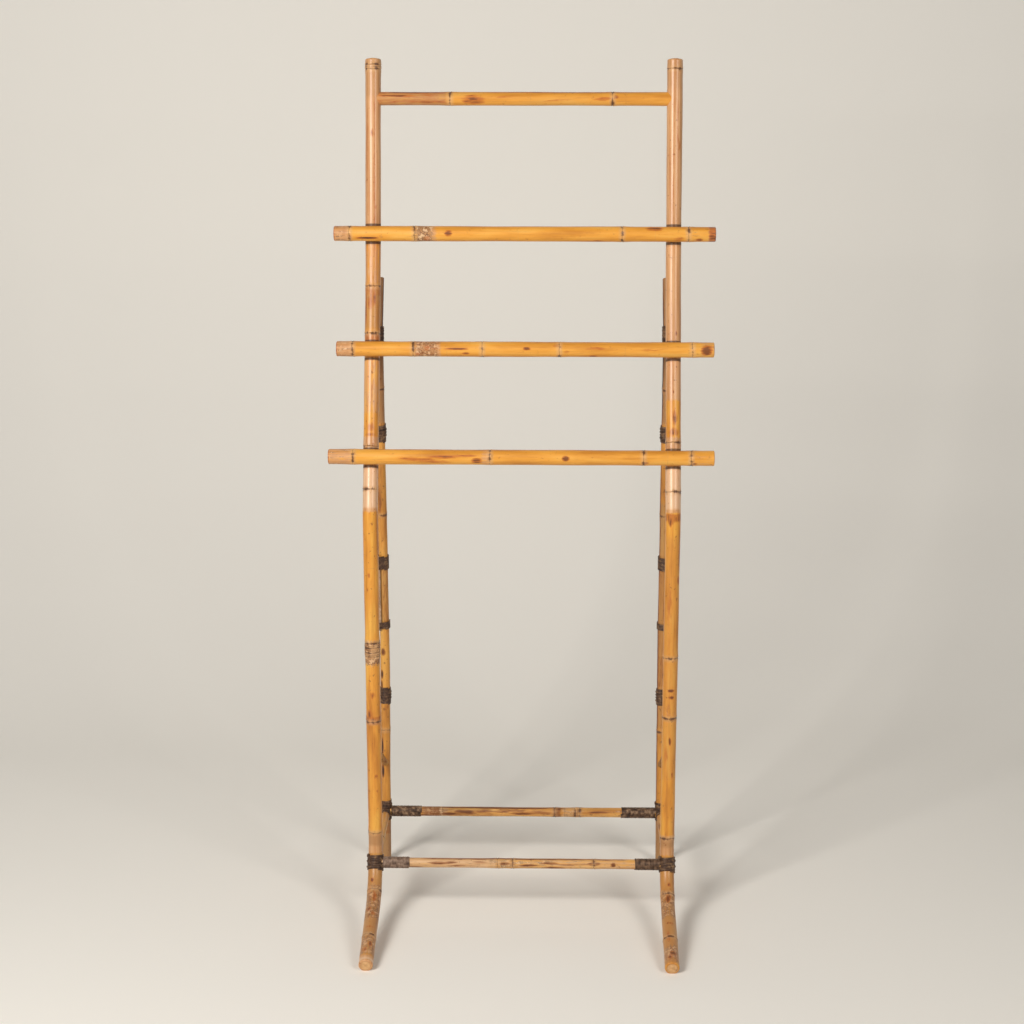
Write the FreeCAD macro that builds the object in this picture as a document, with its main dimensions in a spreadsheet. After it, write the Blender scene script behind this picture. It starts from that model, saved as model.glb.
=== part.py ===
"""A freestanding bamboo towel rack: two bent posts with forward feet, two bowed rear legs pinned to
the backs of the posts, a top rail let in between the posts, three towel rails seated on their
fronts, and a rectangle of stretchers near the floor, bound with split cane.

Millimetres. +X to the right, +Y to the rear, +Z up. The origin is on the floor under the middle
of the rack."""

import FreeCAD
import Part
import math
import os
from FreeCAD import Placement, Rotation, Vector

UP = Vector(0, 0, 1)
LEFT, RIGHT = -1, 1
SIDES = {"left": LEFT, "right": RIGHT}

# Driving sizes: lengths in millimetres, angles in degrees, counts of turns.
SIZES = {
    # Posts: a straight leg, a foot bent forward below it, and a bend above it from which the post
    # leans back, less so above its crest.
    "post_spacing": 500,
    "post_radius": 12.5,
    "bend_height": 717,
    "bend_radius": 70,
    "post_lean_angle": 19.7,
    "crest_height": 1089,
    "crest_radius": 600,
    "crest_lean_angle": 10.8,
    "post_top": 1440,
    "foot_radius": 100,
    "foot_turn_angle": 78,
    "toe_length": 152,
    "toe_wear": 2.5,
    # Rear legs: upright at the floor, leaning forward above, then laid along the back of the post.
    "rear_setback": 222,
    "rear_radius": 8.5,
    "rear_inset": 8.5,
    "rear_top": 1083,
    "rear_knee_height": 400,
    "rear_knee_radius": 350,
    "rear_head_run": 100,
    "rear_head_radius": 90,
    "rear_head_gap": 0.5,
    "head_pin_radius": 2.2,
    "head_pin_depth": 7.5,
    "head_pin_high_drop": 22,
    "head_pin_low_drop": 52,
    # Towel rails on the fronts of the posts.
    "rail_radius": 12.6,
    "rail_seat": 1.5,
    "upper_rail_height": 1156,
    "upper_rail_left_over": 63,
    "upper_rail_right_over": 68,
    "middle_rail_height": 969,
    "middle_rail_left_over": 57,
    "middle_rail_right_over": 66,
    "lower_rail_height": 800,
    "lower_rail_left_over": 68,
    "lower_rail_right_over": 66,
    "pin_radius": 2.5,
    "pin_reach": 9,
    # Top rail between the posts.
    "top_rail_drop": 64,
    "top_rail_radius": 11.2,
    "top_tenon_radius": 6,
    "top_tenon_depth": 7,
    # Stretchers, and the braces that rise from the rear legs to the posts.
    "stretcher_height": 97,
    "stretcher_radius": 8.5,
    "side_radius": 7.5,
    "brace_radius": 6,
    "brace_post_height": 300,
    "brace_rear_height": 190,
    "tenon_radius": 3.5,
    "post_tenon_depth": 7,
    "rear_tenon_depth": 4.5,
    # Bamboo joints along the poles, and the plugs in the open ends.
    "node_bead": 2.2,
    "node_tuck": 1.4,
    "cane_wall": 4.5,
    "plug_length": 18,
    "plug_crown": 2,
    # Split cane lashings.
    "strand_radius": 1.6,
    "strand_pitch": 3.8,
    "joint_pitch": 4.4,
    "sleeve_pitch": 7,
    "sleeve_turns": 6,
    "head_lashing_turns": 3,
    "joint_slack": 0.6,
    "low_binding_turns": 5,
    "splint_low_turns": 2,
    "splint_high_turns": 4,
    "high_binding_turns": 4,
    # Splints bound along the rear legs.
    "splint_length": 145,
    "splint_radius": 2.4,
    "splint_over": 6,
    "splint_gap": 0.2,
    "splint_bearing_angle": 40,
    # Clearances.
    "fit_gap": 0.15,
    "seat_gap": 0.2,
    "strand_gap": 0.3,
    "overrun": 20,
}

doc = FreeCAD.newDocument("towel_rack")
sheet = doc.addObject("Spreadsheet::Sheet", "sizes")
for row, (alias, value) in enumerate(SIZES.items(), start=1):
    sheet.set(f"A{row}", alias)
    sheet.set(f"B{row}", str(value))
    sheet.setAlias(f"B{row}", alias)
doc.recompute()

parts = []


def size(alias):
    return float(sheet.get(alias))


# Places that several pieces share, worked out from the sheet.
lean = math.radians(size("post_lean_angle"))
crest_lean = math.radians(size("crest_lean_angle"))
turn = math.radians(size("foot_turn_angle"))
half_spacing = size("post_spacing") / 2
strand_lift = size("strand_gap") + size("strand_radius")
wrap_depth = 2 * (size("strand_gap") + size("strand_radius"))
toe_reach = size("foot_radius") * (1 - math.cos(turn)) + size("toe_length") * math.sin(turn)
toe_front = toe_reach + size("post_radius") * math.cos(turn)
leg_y = (toe_front - size("rear_setback") - size("rear_radius")) / 2
rear_y = leg_y + size("rear_setback")
top_rail_height = size("post_top") - size("top_rail_drop")
rear_tilt = math.degrees(math.atan(size("rear_inset") / size("rear_top")))


foot_start = (size("toe_length") * math.cos(turn) - size("toe_wear")
              + (size("post_radius") + size("foot_radius")) * math.sin(turn))


def on_post(height):
    """Point of a post's axis, in the plane of the post, above the toe."""
    y = leg_y
    if height < foot_start:
        y -= size("foot_radius") * (1 - math.cos(foot_angle(height)))
    if height > size("bend_height"):
        y += (min(height, size("crest_height")) - size("bend_height")) * math.tan(lean)
    if height > size("crest_height"):
        y += (height - size("crest_height")) * math.tan(crest_lean)
    return Vector(0, y, height)


def foot_angle(height):
    """How far the bend of the foot has turned from upright at a height."""
    return math.asin(max(0.0, foot_start - height) / size("foot_radius"))


def post_tilt(height):
    """Angle of a post's axis from upright, in radians, its upper end to the rear."""
    if height > size("crest_height"):
        return crest_lean
    if height > size("bend_height"):
        return lean
    return foot_angle(height)


def post_axis(height):
    tilt = post_tilt(height)
    return Vector(0, math.sin(tilt), math.cos(tilt))


def post_front(height):
    tilt = post_tilt(height)
    return Vector(0, -math.cos(tilt), math.sin(tilt))


def bind(thing, **expressions):
    for name, expression in expressions.items():
        thing.setExpression(name.replace("__", "."), expression)
    return thing


def add(kind, name):
    return doc.addObject(kind, name)


def keep(thing, label):
    thing.Label = label
    parts.append(thing)
    return thing


def cylinder(name, radius, height, place=Placement()):
    """A rod from place's origin along its +Z. Its radius is an expression, its height may be a number."""
    rod = bind(add("Part::Cylinder", name), Radius=radius)
    if isinstance(height, str):
        bind(rod, Height=height)
    else:
        rod.Height = height
    rod.Placement = place
    return rod


def fuse(name, shapes):
    joined = add("Part::MultiFuse", name)
    joined.Shapes = shapes
    return joined


def cut(name, base, tools):
    tool = tools[0]
    if len(tools) > 1:
        tool = fuse(f"{name}_tools", tools)
    result = add("Part::Cut", name)
    result.Base = base
    result.Tool = tool
    return result


def group(label, things):
    whole = add("Part::Compound", label)
    whole.Links = things
    return keep(whole, label)


def along(start, direction, spin=UP):
    return Placement(start, Rotation(spin, direction))


def node_bead(name, radius, place):
    """The swollen ring at a joint of the bamboo."""
    ring = add("Part::Torus", name)
    bind(ring, Radius1=f"{radius} - sizes.node_tuck", Radius2="sizes.node_bead")
    ring.Placement = place
    return ring


def rounded_path(corners, radii):
    """Straight runs through the corners, joined by tangent arcs."""
    edges = []
    start = corners[0]
    for before, corner, after, radius in zip(corners, corners[1:], corners[2:], radii):
        into = (corner - before).normalize()
        out = (after - corner).normalize()
        half = into.getAngle(out) / 2
        reach = radius * math.tan(half)
        first = corner - into * reach
        last = corner + out * reach
        bisector = (out - into).normalize()
        middle = corner + bisector * (radius / math.cos(half) - radius)
        edges.append(Part.LineSegment(start, first).toShape())
        edges.append(Part.Arc(first, middle, last).toShape())
        start = last
    edges.append(Part.LineSegment(start, corners[-1]).toShape())
    return Part.Wire(edges)


def swept_pole(name, path, radius):
    line = add("Part::Feature", f"{name}_line")
    line.Shape = path
    first = path.Edges[0]
    ring = bind(add("Part::Circle", f"{name}_section"), Radius=radius)
    ring.Placement = along(first.Vertexes[0].Point, first.tangentAt(first.FirstParameter))
    pole = add("Part::Sweep", name)
    pole.Sections = [ring]
    pole.Spine = (line, [f"Edge{i + 1}" for i in range(len(path.Edges))])
    pole.Solid = True
    pole.Frenet = False
    return pole


def floor_tool(name):
    """Everything below the floor, to cut the feet flat."""
    block = bind(
        add("Part::Box", name),
        Length="2 * sizes.post_spacing",
        Width="4 * sizes.rear_setback",
        Height="sizes.overrun",
    )
    block.Placement.Base = Vector(-size("post_spacing"), -2 * size("rear_setback"), -size("overrun"))
    return block


def bore_tool(name, radius, start, direction):
    """A plug's seat in the open end of a pole, from its end inwards."""
    return cylinder(name, f"{radius} - sizes.cane_wall", "sizes.plug_length", along(start, direction))


def plug(name, radius, end, outwards):
    """A turned wooden plug with a low crown standing out of the end."""
    start = end - outwards * size("plug_length")
    body = cylinder(f"{name}_body", f"{radius} - sizes.cane_wall - sizes.fit_gap", "sizes.plug_length",
                    along(start, outwards))
    crown = add("Part::Cone", f"{name}_crown")
    bind(crown, Radius1=f"{radius} - sizes.cane_wall - sizes.fit_gap",
         Radius2=f"({radius} - sizes.cane_wall) / 2", Height="sizes.plug_crown")
    crown.Placement = along(end, outwards)
    return fuse(name, [body, crown])


def tenon_hole(name, radius, start, direction, depth):
    return cylinder(name, f"{radius} + sizes.fit_gap", depth, along(start, direction))


# Posts

POST_NODE_SHARES = (0.115, 0.255, 0.361, 0.524, 0.579, 0.697, 0.894, 0.987)
TOE_NODE_SHARES = (0.46,)


def post_path():
    toe = Vector(0, leg_y - toe_reach, size("post_radius") * math.sin(turn) - size("toe_wear"))
    ankle = Vector(0, leg_y, foot_start - size("foot_radius") * math.tan(turn / 2))
    corners = [toe, ankle] + [on_post(size(place)) for place in ("bend_height", "crest_height", "post_top")]
    return rounded_path(corners, [size("foot_radius"), size("bend_radius"), size("crest_radius")])


def make_post(word, side):
    name = f"{word}_post"
    shift = Vector(side * half_spacing, 0, 0)
    path = post_path()
    path.translate(shift)
    pieces = [swept_pole(f"{name}_pole", path, "sizes.post_radius")]
    for i, share in enumerate(POST_NODE_SHARES):
        height = share * size("post_top")
        place = along(on_post(height) + shift, post_axis(height))
        pieces.append(node_bead(f"{name}_node{i}", "sizes.post_radius", place))
    toe_edge = path.Edges[0]
    toe = toe_edge.Vertexes[0].Point
    toe_way = toe_edge.tangentAt(toe_edge.FirstParameter)
    for i, share in enumerate(TOE_NODE_SHARES):
        place = along(toe + toe_way * (share * size("toe_length")), toe_way)
        pieces.append(node_bead(f"{name}_toe_node{i}", "sizes.post_radius", place))
    inner = Vector(-side, 0, 0)
    rear = Vector(0, 1, 0)
    depth = "sizes.post_radius"
    start = size("post_radius") - size("post_tenon_depth")
    top_start = size("post_radius") - size("top_tenon_depth")
    foot = on_post(size("stretcher_height")) + shift
    brace, brace_way = brace_line(side)[0], brace_line(side)[2]
    head = on_post(top_rail_height) + shift
    top = size("post_top")
    tools = [
        floor_tool(f"{name}_floor"),
        tenon_hole(f"{name}_front_hole", "sizes.tenon_radius", foot + inner * start, inner, depth),
        tenon_hole(f"{name}_side_hole", "sizes.tenon_radius", foot + rear * start, rear, depth),
        tenon_hole(f"{name}_brace_hole", "sizes.tenon_radius", brace + brace_way * start, brace_way, "2 * " + depth),
        tenon_hole(f"{name}_head_hole", "sizes.top_tenon_radius", head + inner * top_start, inner, depth),
        bore_tool(f"{name}_top_bore", "sizes.post_radius", on_post(top) + shift, post_axis(top) * -1),
        bore_tool(f"{name}_toe_bore", "sizes.post_radius", toe, toe_way),
    ]
    for drop in HEAD_PINS:
        _, post_point, pin_way = head_pin_line(side, size(drop))
        bottom = post_point - pin_way * (size("post_radius") - size("head_pin_depth"))
        tools.append(tenon_hole(f"{name}_{drop}_hole", "sizes.head_pin_radius", bottom, pin_way * -1, depth))
    for rail in RAIL_NODE_SHARES:
        front = post_front(size(f"{rail}_rail_height"))
        tools.append(cylinder(f"{name}_{rail}_pin_hole", "sizes.pin_radius + sizes.fit_gap",
                              "sizes.pin_reach + sizes.seat_gap",
                              along(pin_seat(rail) + shift - front * size("pin_reach"), front)))
    return keep(cut(name, fuse(f"{name}_cane", pieces), tools), name)


def make_post_plugs():
    tops, toes = [], []
    top = size("post_top")
    for word, side in SIDES.items():
        shift = Vector(side * half_spacing, 0, 0)
        tops.append(plug(f"{word}_top_plug", "sizes.post_radius", on_post(top) + shift, post_axis(top)))
        toe_edge = post_path().Edges[0]
        outwards = toe_edge.tangentAt(toe_edge.FirstParameter) * -1
        toe = plug(f"{word}_toe_plug", "sizes.post_radius", toe_edge.Vertexes[0].Point + shift, outwards)
        toes.append(cut(f"{word}_toe_plug_flat", toe, [floor_tool(f"{word}_toe_plug_floor")]))
    group("post_top_plugs", tops)
    group("toe_plugs", toes)


# Towel rails


def rail_axis_offset():
    return size("post_radius") + size("rail_radius") - size("rail_seat") + size("seat_gap")


def rail_centre(word):
    height = size(f"{word}_rail_height")
    return on_post(height) + post_front(height) * rail_axis_offset()


def rail_end(word, side_word):
    """The middle of a rail's end, which stands out past the post by its own overhang."""
    reach = half_spacing + size(f"{word}_rail_{side_word}_over")
    return rail_centre(word) + Vector(SIDES[side_word] * reach, 0, 0)


def pin_seat(word):
    """Where a rail's dowel crosses from the post into the rail, on the post's front."""
    height = size(f"{word}_rail_height")
    return on_post(height) + post_front(height) * size("post_radius")


RAIL_NODE_SHARES = {
    "upper": (0.035, 0.215, 0.75, 0.91),
    "middle": (0.05, 0.21, 0.38, 0.59, 0.95),
    "lower": (0.07, 0.415, 0.82, 0.92),
}


def make_towel_rail(word):
    name = f"{word}_towel_rail"
    left = f"sizes.{word}_rail_left_over"
    right = f"sizes.{word}_rail_right_over"
    height = size(f"{word}_rail_height")
    start = rail_end(word, "left")
    end = rail_end(word, "right")
    length = (end - start).Length
    across = Vector(1, 0, 0)
    pieces = [cylinder(f"{name}_pole", "sizes.rail_radius", f"sizes.post_spacing + {left} + {right}",
                       along(start, across))]
    for i, share in enumerate(RAIL_NODE_SHARES[word]):
        place = along(start + across * (share * length), across)
        pieces.append(node_bead(f"{name}_node{i}", "sizes.rail_radius", place))
    tools = [
        bore_tool(f"{name}_left_bore", "sizes.rail_radius", start, across),
        bore_tool(f"{name}_right_bore", "sizes.rail_radius", end, across * -1),
    ]
    for side_word, side in SIDES.items():
        shift = Vector(side * half_spacing, 0, 0)
        axis = post_axis(height)
        below = on_post(height) + shift - axis * (2 * size("rail_radius"))
        tools.append(cylinder(f"{name}_{side_word}_saddle", "sizes.post_radius + sizes.seat_gap",
                              "4 * sizes.rail_radius", along(below, axis)))
        tools.append(cylinder(f"{name}_{side_word}_pin_hole", "sizes.pin_radius + sizes.fit_gap",
                              "sizes.pin_reach", along(pin_seat(word) + shift, post_front(height))))
    return keep(cut(name, fuse(f"{name}_cane", pieces), tools), name)


def make_rail_fittings():
    pins, plugs = [], []
    for word in RAIL_NODE_SHARES:
        for side_word, side in SIDES.items():
            front = post_front(size(f"{word}_rail_height"))
            start = pin_seat(word) + Vector(side * half_spacing, 0, 0) - front * size("pin_reach")
            pins.append(cylinder(f"{word}_{side_word}_pin", "sizes.pin_radius", "2 * sizes.pin_reach",
                                 along(start, front)))
            plugs.append(plug(f"{word}_{side_word}_plug", "sizes.rail_radius", rail_end(word, side_word),
                              Vector(side, 0, 0)))
    group("rail_pins", pins)
    group("rail_end_plugs", plugs)


# Top rail

TOP_RAIL_NODE_SHARES = (0.25, 0.81)


def make_top_rail():
    centre = on_post(top_rail_height)
    across = Vector(1, 0, 0)
    start = centre - across * half_spacing
    pole = cylinder("top_rail_pole", "sizes.top_rail_radius", "sizes.post_spacing", along(start, across))
    beads = [node_bead(f"top_rail_node{i}", "sizes.top_rail_radius",
                       along(start + across * (share * size("post_spacing")), across))
             for i, share in enumerate(TOP_RAIL_NODE_SHARES)]
    copes = []
    for side_word, side in SIDES.items():
        axis = post_axis(top_rail_height)
        below = centre + Vector(side * half_spacing, 0, 0) - axis * (2 * size("top_rail_radius"))
        copes.append(cylinder(f"top_rail_{side_word}_cope", "sizes.post_radius + sizes.seat_gap",
                              "4 * sizes.top_rail_radius", along(below, axis)))
    body = cut("top_rail_body", fuse("top_rail_cane", [pole] + beads), copes)
    inset = size("post_radius") - size("top_tenon_depth")
    tenon = cylinder("top_rail_tenon", "sizes.top_tenon_radius",
                     "sizes.post_spacing - 2 * (sizes.post_radius - sizes.top_tenon_depth)",
                     along(start + across * inset, across))
    return keep(fuse("top_rail", [body, tenon]), "top_rail")


# Rear legs


def rear_path():
    """The rear leg's line in its own plane, from its foot at the origin."""
    back = size("post_radius") + size("rear_radius") + size("rear_head_gap")
    offset = math.sqrt(back ** 2 - size("rear_inset") ** 2)
    axis = Vector(0, math.sin(lean), math.cos(lean))
    behind = Vector(0, math.cos(lean), -math.sin(lean))
    bend = on_post(size("bend_height"))
    along_post = (size("rear_top") - size("bend_height") + offset * math.sin(lean)) / math.cos(lean)
    top = bend + axis * along_post + behind * offset
    head = top - axis * size("rear_head_run")
    origin = Vector(0, rear_y, 0)
    foot = Vector(0, 0, -size("overrun") / 2)
    knee = Vector(0, 0, size("rear_knee_height"))
    corners = [foot, knee, head - origin, top - origin]
    return rounded_path(corners, [size("rear_knee_radius"), size("rear_head_radius")])


def rear_place(side):
    """Stands a rear leg on the floor, with its head tilted in towards the middle."""
    tilt = Rotation(Vector(0, 1, 0), -side * rear_tilt)
    return Placement(Vector(side * half_spacing, rear_y, 0), tilt)


def on_edge(edge, share):
    """Point and direction at a share of an edge's length."""
    at = edge.FirstParameter + share * (edge.LastParameter - edge.FirstParameter)
    return edge.valueAt(at), edge.tangentAt(at)


def rear_point(height):
    """Point and direction of the rear leg's line at a height, found by halving."""
    for edge in rear_path().Edges:
        low, high = 0.0, 1.0
        if on_edge(edge, low)[0].z <= height <= on_edge(edge, high)[0].z:
            while high - low > 1e-12:
                middle = (low + high) / 2
                if on_edge(edge, middle)[0].z < height:
                    low = middle
                else:
                    high = middle
            return on_edge(edge, low)
    raise ValueError(f"the rear leg does not reach {height}")


def rear_x(height):
    return half_spacing - size("rear_inset") * height / size("rear_top")


HEAD_PINS = ("head_pin_high_drop", "head_pin_low_drop")


def head_pin_line(side, drop):
    """Where a dowel through the head of a rear leg crosses the leg's axis and the post's, and its way."""
    point, _ = rear_point(size("rear_top") - drop)
    leg_point = rear_place(side).multVec(point)
    bend = on_post(size("bend_height")) + Vector(side * half_spacing, 0, 0)
    axis = Vector(0, math.sin(lean), math.cos(lean))
    post_point = bend + axis * (leg_point - bend).dot(axis)
    return leg_point, post_point, (post_point - leg_point).normalize()


def make_head_pins():
    pins = []
    for word, side in SIDES.items():
        for drop in HEAD_PINS:
            leg_point, post_point, way = head_pin_line(side, size(drop))
            start = leg_point - way * size("rear_radius")
            into_post = size("head_pin_depth") - size("fit_gap") - size("post_radius")
            end = post_point + way * into_post
            pins.append(cylinder(f"{word}_{drop}_pin", "sizes.head_pin_radius", (end - start).Length,
                                 along(start, way)))
    group("head_pins", pins)


REAR_NODE_SHARES = (0.235, 0.62, 0.83)


def make_rear_leg(word, side):
    name = f"{word}_rear_leg"
    place = rear_place(side)
    path = rear_path()
    path.Placement = place
    pieces = [swept_pole(f"{name}_pole", path, "sizes.rear_radius")]
    for i, share in enumerate(REAR_NODE_SHARES):
        point, direction = rear_point(share * size("rear_top"))
        bead_place = along(place.multVec(point), place.Rotation.multVec(direction))
        pieces.append(node_bead(f"{name}_node{i}", "sizes.rear_radius", bead_place))
    inner = Vector(-side, 0, 0)
    front = Vector(0, -1, 0)
    start = size("rear_radius") - size("rear_tenon_depth")
    foot = Vector(side * rear_x(size("stretcher_height")), rear_y, size("stretcher_height"))
    _, brace, brace_way = brace_line(side)
    tools = [
        floor_tool(f"{name}_floor"),
        tenon_hole(f"{name}_rear_hole", "sizes.tenon_radius", foot + inner * start, inner, "sizes.rear_radius"),
        tenon_hole(f"{name}_side_hole", "sizes.tenon_radius", foot + front * start, front, "sizes.rear_radius"),
        tenon_hole(f"{name}_brace_hole", "sizes.tenon_radius", brace - brace_way * start, brace_way * -1,
                   "2 * sizes.rear_radius"),
    ]
    for drop in HEAD_PINS:
        leg_point, _, pin_way = head_pin_line(side, size(drop))
        tools.append(tenon_hole(f"{name}_{drop}_hole", "sizes.head_pin_radius",
                                leg_point - pin_way * (2 * size("rear_radius")), pin_way, "4 * sizes.rear_radius"))
    return keep(cut(name, fuse(f"{name}_cane", pieces), tools), name)


# Stretchers and braces

STRETCHER_NODE_SHARES = (0.33, 0.71)


def spindle(label, radius, start, end, shoulders, tenon_ends, node_shares=()):
    """A thin pole with shoulders and a round tenon at each end, from one pole's axis to another's."""
    direction = (end - start).normalize()
    length = (end - start).Length
    body_start = start + direction * shoulders[0]
    body_length = length - shoulders[0] - shoulders[1]
    body = cylinder(f"{label}_body", radius, body_length, along(body_start, direction))
    tenon_length = length - tenon_ends[0] - tenon_ends[1]
    tenon = cylinder(f"{label}_tenon", "sizes.tenon_radius", tenon_length,
                     along(start + direction * tenon_ends[0], direction))
    beads = [node_bead(f"{label}_node{i}", radius, along(body_start + direction * (share * body_length), direction))
             for i, share in enumerate(node_shares)]
    return keep(fuse(label, [body, tenon] + beads), label)


def make_stretchers():
    height = size("stretcher_height")
    post_tenon = size("post_radius") - size("post_tenon_depth") + size("fit_gap")
    rear_tenon = size("rear_radius") - size("rear_tenon_depth") + size("fit_gap")
    post_shoulder = size("post_radius") + wrap_depth + size("joint_slack")
    rear_shoulder = size("rear_radius") + wrap_depth + size("joint_slack")
    foot = on_post(height)
    across = Vector(half_spacing, 0, 0)
    spindle("front_stretcher", "sizes.stretcher_radius", foot - across, foot + across,
            (post_shoulder, post_shoulder), (post_tenon, post_tenon), STRETCHER_NODE_SHARES)
    rear_foot = Vector(0, rear_y, height)
    rear_across = Vector(rear_x(height), 0, 0)
    spindle("rear_stretcher", "sizes.stretcher_radius", rear_foot - rear_across, rear_foot + rear_across,
            (rear_shoulder, rear_shoulder), (rear_tenon, rear_tenon), STRETCHER_NODE_SHARES)
    # The post slants where the side stretchers meet it, so its section is longer that way.
    slant = size("post_radius") * (1 / math.cos(post_tilt(height)) - 1)
    for word, side in SIDES.items():
        spindle(f"{word}_side_stretcher", "sizes.side_radius", foot + across * side,
                rear_foot + rear_across * side, (post_shoulder + slant + size("joint_slack"), rear_shoulder),
                (post_tenon, rear_tenon))


def brace_line(side):
    """Where a brace's line meets the axes of the post and the rear leg, and its way from one to the other."""
    start = on_post(size("brace_post_height")) + Vector(side * half_spacing, 0, 0)
    low = size("brace_rear_height")
    end = Vector(side * rear_x(low), rear_y, low)
    return start, end, (end - start).normalize()


def make_brace(word, side):
    name = f"{word}_side_brace"
    start, end, way = brace_line(side)
    pole = cylinder(f"{name}_pole", "sizes.brace_radius", (end - start).Length, along(start, way))
    reach = Vector(0, 0, 4 * size("brace_radius"))
    copes = [
        cylinder(f"{name}_post_cope", "sizes.post_radius + sizes.seat_gap", "8 * sizes.brace_radius",
                 along(start - reach, UP)),
        cylinder(f"{name}_rear_cope", "sizes.rear_radius + sizes.seat_gap", "8 * sizes.brace_radius",
                 along(end - reach, UP)),
    ]
    body = cut(f"{name}_body", pole, copes)
    post_end = size("post_radius") - size("post_tenon_depth") + size("fit_gap")
    rear_end = size("rear_radius") - size("rear_tenon_depth") + size("fit_gap")
    tenon = cylinder(f"{name}_tenon", "sizes.tenon_radius", (end - start).Length - post_end - rear_end,
                     along(start + way * post_end, way))
    return keep(fuse(name, [body, tenon]), name)


# Split cane lashings

STRAND_SIDES = 6


def arc_or_line(start, tangent, end):
    """The arc that leaves start along tangent and reaches end, or a line where they are in line."""
    chord = end - start
    angle = tangent.getAngle(chord)
    if angle < 1e-6:
        return Part.LineSegment(start, end).toShape()
    across = (tangent - chord * (tangent.dot(chord) / chord.dot(chord))).normalize()
    middle = start + chord / 2 + across * (chord.Length / 2 * math.tan(angle / 2))
    return Part.Arc(start, middle, end).toShape()


def biarc(start, out, end, into):
    span = end - start
    total = out + into
    bend = 2 * (1 - out.dot(into))
    if bend < 1e-9:
        return [arc_or_line(start, out, end)]
    reach = span.dot(total)
    step = (math.sqrt(reach ** 2 + bend * span.dot(span)) - reach) / bend
    joint = (start + out * step + end - into * step) / 2
    second = arc_or_line(end, into * -1, joint)
    second.reverse()
    return [arc_or_line(start, out, joint), second]


def strand(name, points, place):
    """One unbroken strand of cane through points, each a place and a direction, with straight ends."""
    end_run = 2 * size("strand_radius")
    points = [(point, direction.normalize()) for point, direction in points]
    first, first_way = points[0]
    last, last_way = points[-1]
    tail = first - first_way * end_run
    edges = [Part.LineSegment(tail, first).toShape()]
    for (start, out), (end, into) in zip(points, points[1:]):
        edges += biarc(start, out, end, into)
    edges.append(Part.LineSegment(last, last + last_way * end_run).toShape())
    path = Part.Wire(edges)
    corners = [Vector(size("strand_radius") * math.cos(2 * math.pi * i / STRAND_SIDES),
                      size("strand_radius") * math.sin(2 * math.pi * i / STRAND_SIDES), 0)
               for i in range(STRAND_SIDES)]
    section = Part.makePolygon(corners + corners[:1])
    section.Placement = along(tail, first_way)
    shell = Part.BRepOffsetAPI.MakePipeShell(path)
    shell.add(section)
    shell.build()
    shell.makeSolid()
    winding = add("Part::Feature", name)
    winding.Shape = shell.shape()
    winding.Placement = place
    print(f"{name}: least gap to itself {least_gap(path):.2f} mm")
    return winding


def least_gap(path):
    """Least clear distance between the turns of a strand, on points along it."""
    step = size("strand_radius") / 2
    points = path.discretize(Distance=step)
    near = round(8 * size("strand_radius") / step)
    gaps = [(a - b).Length for i, a in enumerate(points[::4]) for b in points[4 * i + near::2]]
    return min(gaps) - 2 * size("strand_radius")


def helix_points(radius, turns, pitch, first_angle=0.0):
    """Quarter turns of a helix about +Z, centred on the origin."""
    count = round(4 * turns)
    slope = pitch / (2 * math.pi)
    points = []
    for i in range(count + 1):
        angle = first_angle + i * math.pi / 2
        point = Vector(radius * math.cos(angle), radius * math.sin(angle), pitch * (i - count / 2) / 4)
        points.append((point, Vector(-radius * math.sin(angle), radius * math.cos(angle), slope)))
    return points


def joint_points(radius, crossing_angle, pole_line):
    """Level turns below and above a joint's tenons, crossing between them in one half turn. pole_line
    gives how far back the pole's axis lies at a height over the joint, and its angle from upright."""
    coil = size("joint_pitch")
    rise = 2 * (size("tenon_radius") + size("fit_gap") + size("strand_radius") + size("strand_gap"))
    heights = [-rise / 2 - coil * (8 - i) / 4 for i in range(9)]
    heights.append(0.0)
    heights += [rise / 2 + coil * i / 4 for i in range(9)]
    points = []
    for i, height in enumerate(heights):
        angle = crossing_angle + (i - 9) * math.pi / 2
        below = heights[max(i - 1, 0)]
        above = heights[min(i + 1, len(heights) - 1)]
        slope = (above - below) / (math.pi / 2 * (min(i + 1, len(heights) - 1) - max(i - 1, 0)))
        back, tilt = pole_line(height)
        longer = radius / math.cos(tilt)
        point = Vector(radius * math.cos(angle), longer * math.sin(angle) + back, height)
        way = Vector(-radius * math.sin(angle), longer * math.cos(angle) + math.tan(tilt) * slope, slope)
        points.append((point, way))
    return points


def belt_points(big, small, offset, turns, pitch):
    """A strand round two parallel poles along +Z, the second pole's axis at offset from the first's."""
    apart = offset.Length
    bearing = math.atan2(offset.y, offset.x)
    wrap = math.acos((big - small) / apart)
    stops = [(Vector(), big, bearing + wrap), (Vector(), big, bearing + math.pi),
             (Vector(), big, bearing + 2 * math.pi - wrap), (offset, small, bearing + 2 * math.pi - wrap),
             (offset, small, bearing + 2 * math.pi), (offset, small, bearing + 2 * math.pi + wrap)]
    places = [centre + Vector(radius * math.cos(a), radius * math.sin(a), 0) for centre, radius, a in stops]
    ways = [Vector(-math.sin(a), math.cos(a), 0) for _, _, a in stops]
    straight = apart * math.sin(wrap)
    runs = [big * (math.pi - wrap), big * (math.pi - wrap), straight, small * wrap, small * wrap, straight]
    around = sum(runs)
    slope = pitch / around
    points = []
    travelled = 0.0
    for i in range(round(len(stops) * turns) + 1):
        at = i % len(stops)
        height = slope * travelled - pitch * turns / 2
        points.append((places[at] + Vector(0, 0, height), ways[at] + Vector(0, 0, slope)))
        travelled += runs[at]
    return points


def foot_line(over):
    height = size("stretcher_height")
    return on_post(height + over).y - on_post(height).y, post_tilt(height + over)


def upright_line(over):
    return 0.0, 0.0


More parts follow.
